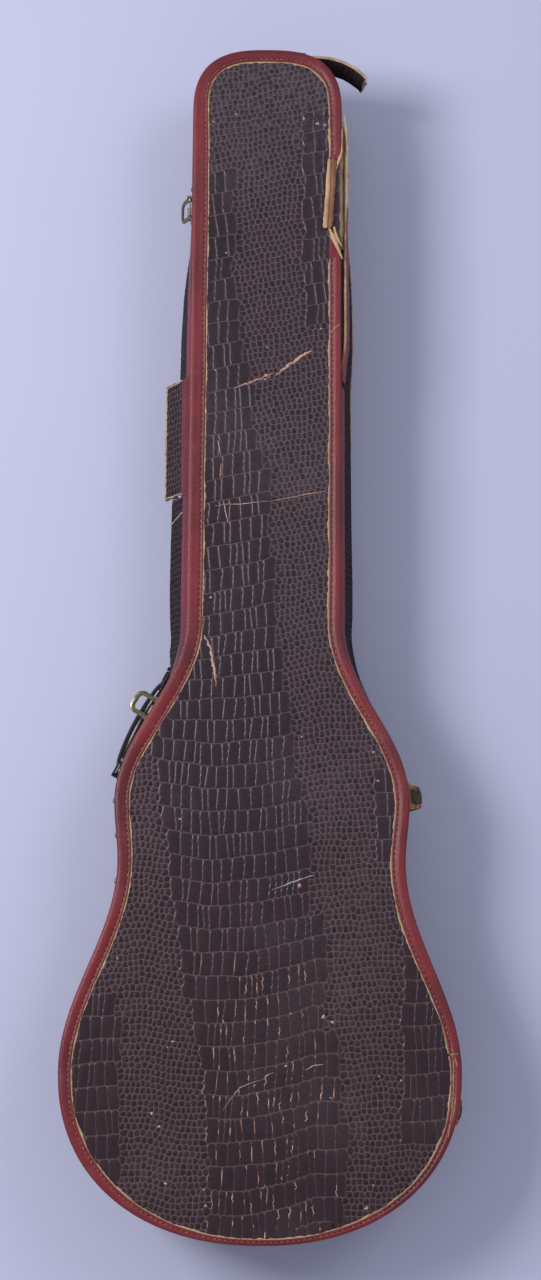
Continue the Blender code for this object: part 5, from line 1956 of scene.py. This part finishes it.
grip_ends = []
for station in GRIP_STATIONS:
    place, out = edge_at(distance_of(station, -1))
    grip_ends.append(place + out * (GRIP_OUT - tray_inset))
grip_middle = (grip_ends[0] + grip_ends[1]) / 2
grip_run = grip_ends[0] - grip_ends[1]
grip_along = Vector((*grip_run.normalized(), 0.0))
grip_outward = Vector((-grip_along.y, grip_along.x, 0.0))
grip_leg = grip_run.length / 2 - GRIP_LEG_INSET
shape = [Vector(row) for row in GRIP_LINE]
shape += [Vector((-share, drop, bow, radius)) for share, drop, bow, radius in reversed(GRIP_LINE[:-1])]
grip_middles = []
grip_radii = []
for share, drop, bow, radius in smooth_line(shape, GRIP_STEPS):
    middle = Vector((*grip_middle, GRIP_HEIGHT + drop)) + grip_along * grip_leg * share + grip_outward * bow
    grip_middles.append(middle)
    grip_radii.append(radius)
grip = bmesh.new()
rings = []
for number, (middle, radius) in enumerate(zip(grip_middles, grip_radii)):
    side = heading_at(grip_middles, number).cross(grip_outward).normalized()
    rings.append(round_ring(middle, grip_outward, side, radius, GRIP_CORNERS))
add_sweep(grip, rings)
for sign in (-1, 1):
    rings = []
    for reach, radius in GRIP_FEET:
        middle = Vector((*grip_middle, GRIP_HEIGHT)) + grip_along * (sign * grip_leg + reach)
        rings.append(round_ring(middle, grip_outward, Vector((0, 0, 1)), radius, FOOT_CORNERS))
    add_sweep(grip, rings)
solid_piece("handle_moulding", grip, "handle", [GRIP_BLACK], CORNER_ANGLE, ["handle_grip"], "black_grip")
for end in ("head", "tail"):
    dress([f"handle_bracket_{end}{part}" for part in ("", "_rivet_1", "_rivet_2")], GRIP_BLACK)


# Edge tacks
# Domed steel tacks, driven through the binding and the rim beside the upper bout, where the board
# was mended.

TACK_STATIONS = (0.400, 0.374, 0.344, 0.305)
TACK_DOWN = 0.0060
TACK_CORNERS = 14
TACK_PROFILE = (
    (0.0010, -0.0010),
    (0.0027, -0.0006),
    (0.0029, 0.0000),
    (0.0024, 0.0007),
    (0.0014, 0.0012),
    (0.0004, 0.0014),
)
tacks = bmesh.new()
for station in TACK_STATIONS:
    place, out = edge_at(distance_of(station, -1))
    along = Vector((-out.y, out.x, 0.0))
    rings = []
    for radius, height in TACK_PROFILE:
        middle = Vector((*(place + out * height), LID_TOP - TACK_DOWN))
        rings.append(round_ring(middle, along, Vector((0, 0, 1)), radius, TACK_CORNERS))
    add_sweep(tacks, rings)
solid_piece("edge_tacks", tacks, "lid", [STEEL], slot="latch_steel")


# Studio
# A plain pale floor under the case, two soft square lamps and a pale sky. The camera looks at the
# lid from above, leaning a little towards the tail.

FLOOR_SIZE = 12.0
FLOOR_DROP = 0.0004
FLOOR_COLOUR = (0.440, 0.462, 0.622)
FLOOR_SHADE = (0.225, 0.232, 0.313)

floor_mesh = bpy.data.meshes.new("floor")
floor_form = bmesh.new()
bmesh.ops.create_grid(floor_form, x_segments=1, y_segments=1, size=FLOOR_SIZE)
floor_form.to_mesh(floor_mesh)
floor_form.free()
floor = bpy.data.objects.new("floor", floor_mesh)
bpy.context.scene.collection.objects.link(floor)
floor_finish, floor_shader, floor_place = finish_of("floor")
lead((floor_place.grain(3.0) * 0.12).blend(FLOOR_COLOUR, FLOOR_SHADE), floor_shader, "Base Color")
floor_shader.inputs["Roughness"].default_value = 0.8
floor_mesh.materials.append(floor_finish)
floor.location.z = -FLOOR_DROP


def lamp(name, place, size, power, colour):
    """A soft square lamp that points at the case."""
    data = bpy.data.lights.new(name, "AREA")
    data.shape = "SQUARE"
    data.size = size
    data.energy = power
    data.color = colour
    made = bpy.data.objects.new(name, data)
    made.location = place
    made.rotation_mode = "QUATERNION"
    made.rotation_quaternion = (-Vector(place)).to_track_quat("-Z", "Y")
    bpy.context.scene.collection.objects.link(made)


lamp("lamp_left", (-1.5, 0.45, 1.75), 0.8, 44.0, (1.0, 0.97, 0.97))
lamp("lamp_right", (1.4, 1.0, 2.4), 1.0, 14.0, (0.96, 0.98, 1.0))

sky = bpy.data.worlds.new("sky")
sky.use_nodes = True
sky.node_tree.nodes["Background"].inputs["Color"].default_value = (0.89, 0.89, 1.0, 1.0)
sky.node_tree.nodes["Background"].inputs["Strength"].default_value = 0.55
bpy.context.scene.world = sky

CAMERA_DISTANCE = 2.4
CAMERA_LEAN = math.radians(9.0)
CAMERA_ROLL = math.radians(0.43)
CAMERA_LENS = 77.95
AIM = Vector((0.0062, -0.0111, LID_TOP))

camera = bpy.data.objects.new("camera", bpy.data.cameras.new("camera"))
bpy.context.scene.collection.objects.link(camera)
camera.data.lens = CAMERA_LENS
back_way = Vector((0.0, -math.sin(CAMERA_LEAN), math.cos(CAMERA_LEAN)))
camera.location = AIM + back_way * CAMERA_DISTANCE
camera.rotation_mode = "QUATERNION"
turn = back_way.to_track_quat("Z", "Y") @ Matrix.Rotation(CAMERA_ROLL, 3, "Z").to_quaternion()
camera.rotation_quaternion = turn
bpy.context.scene.camera = camera
bpy.context.scene.view_settings.view_transform = "Standard"
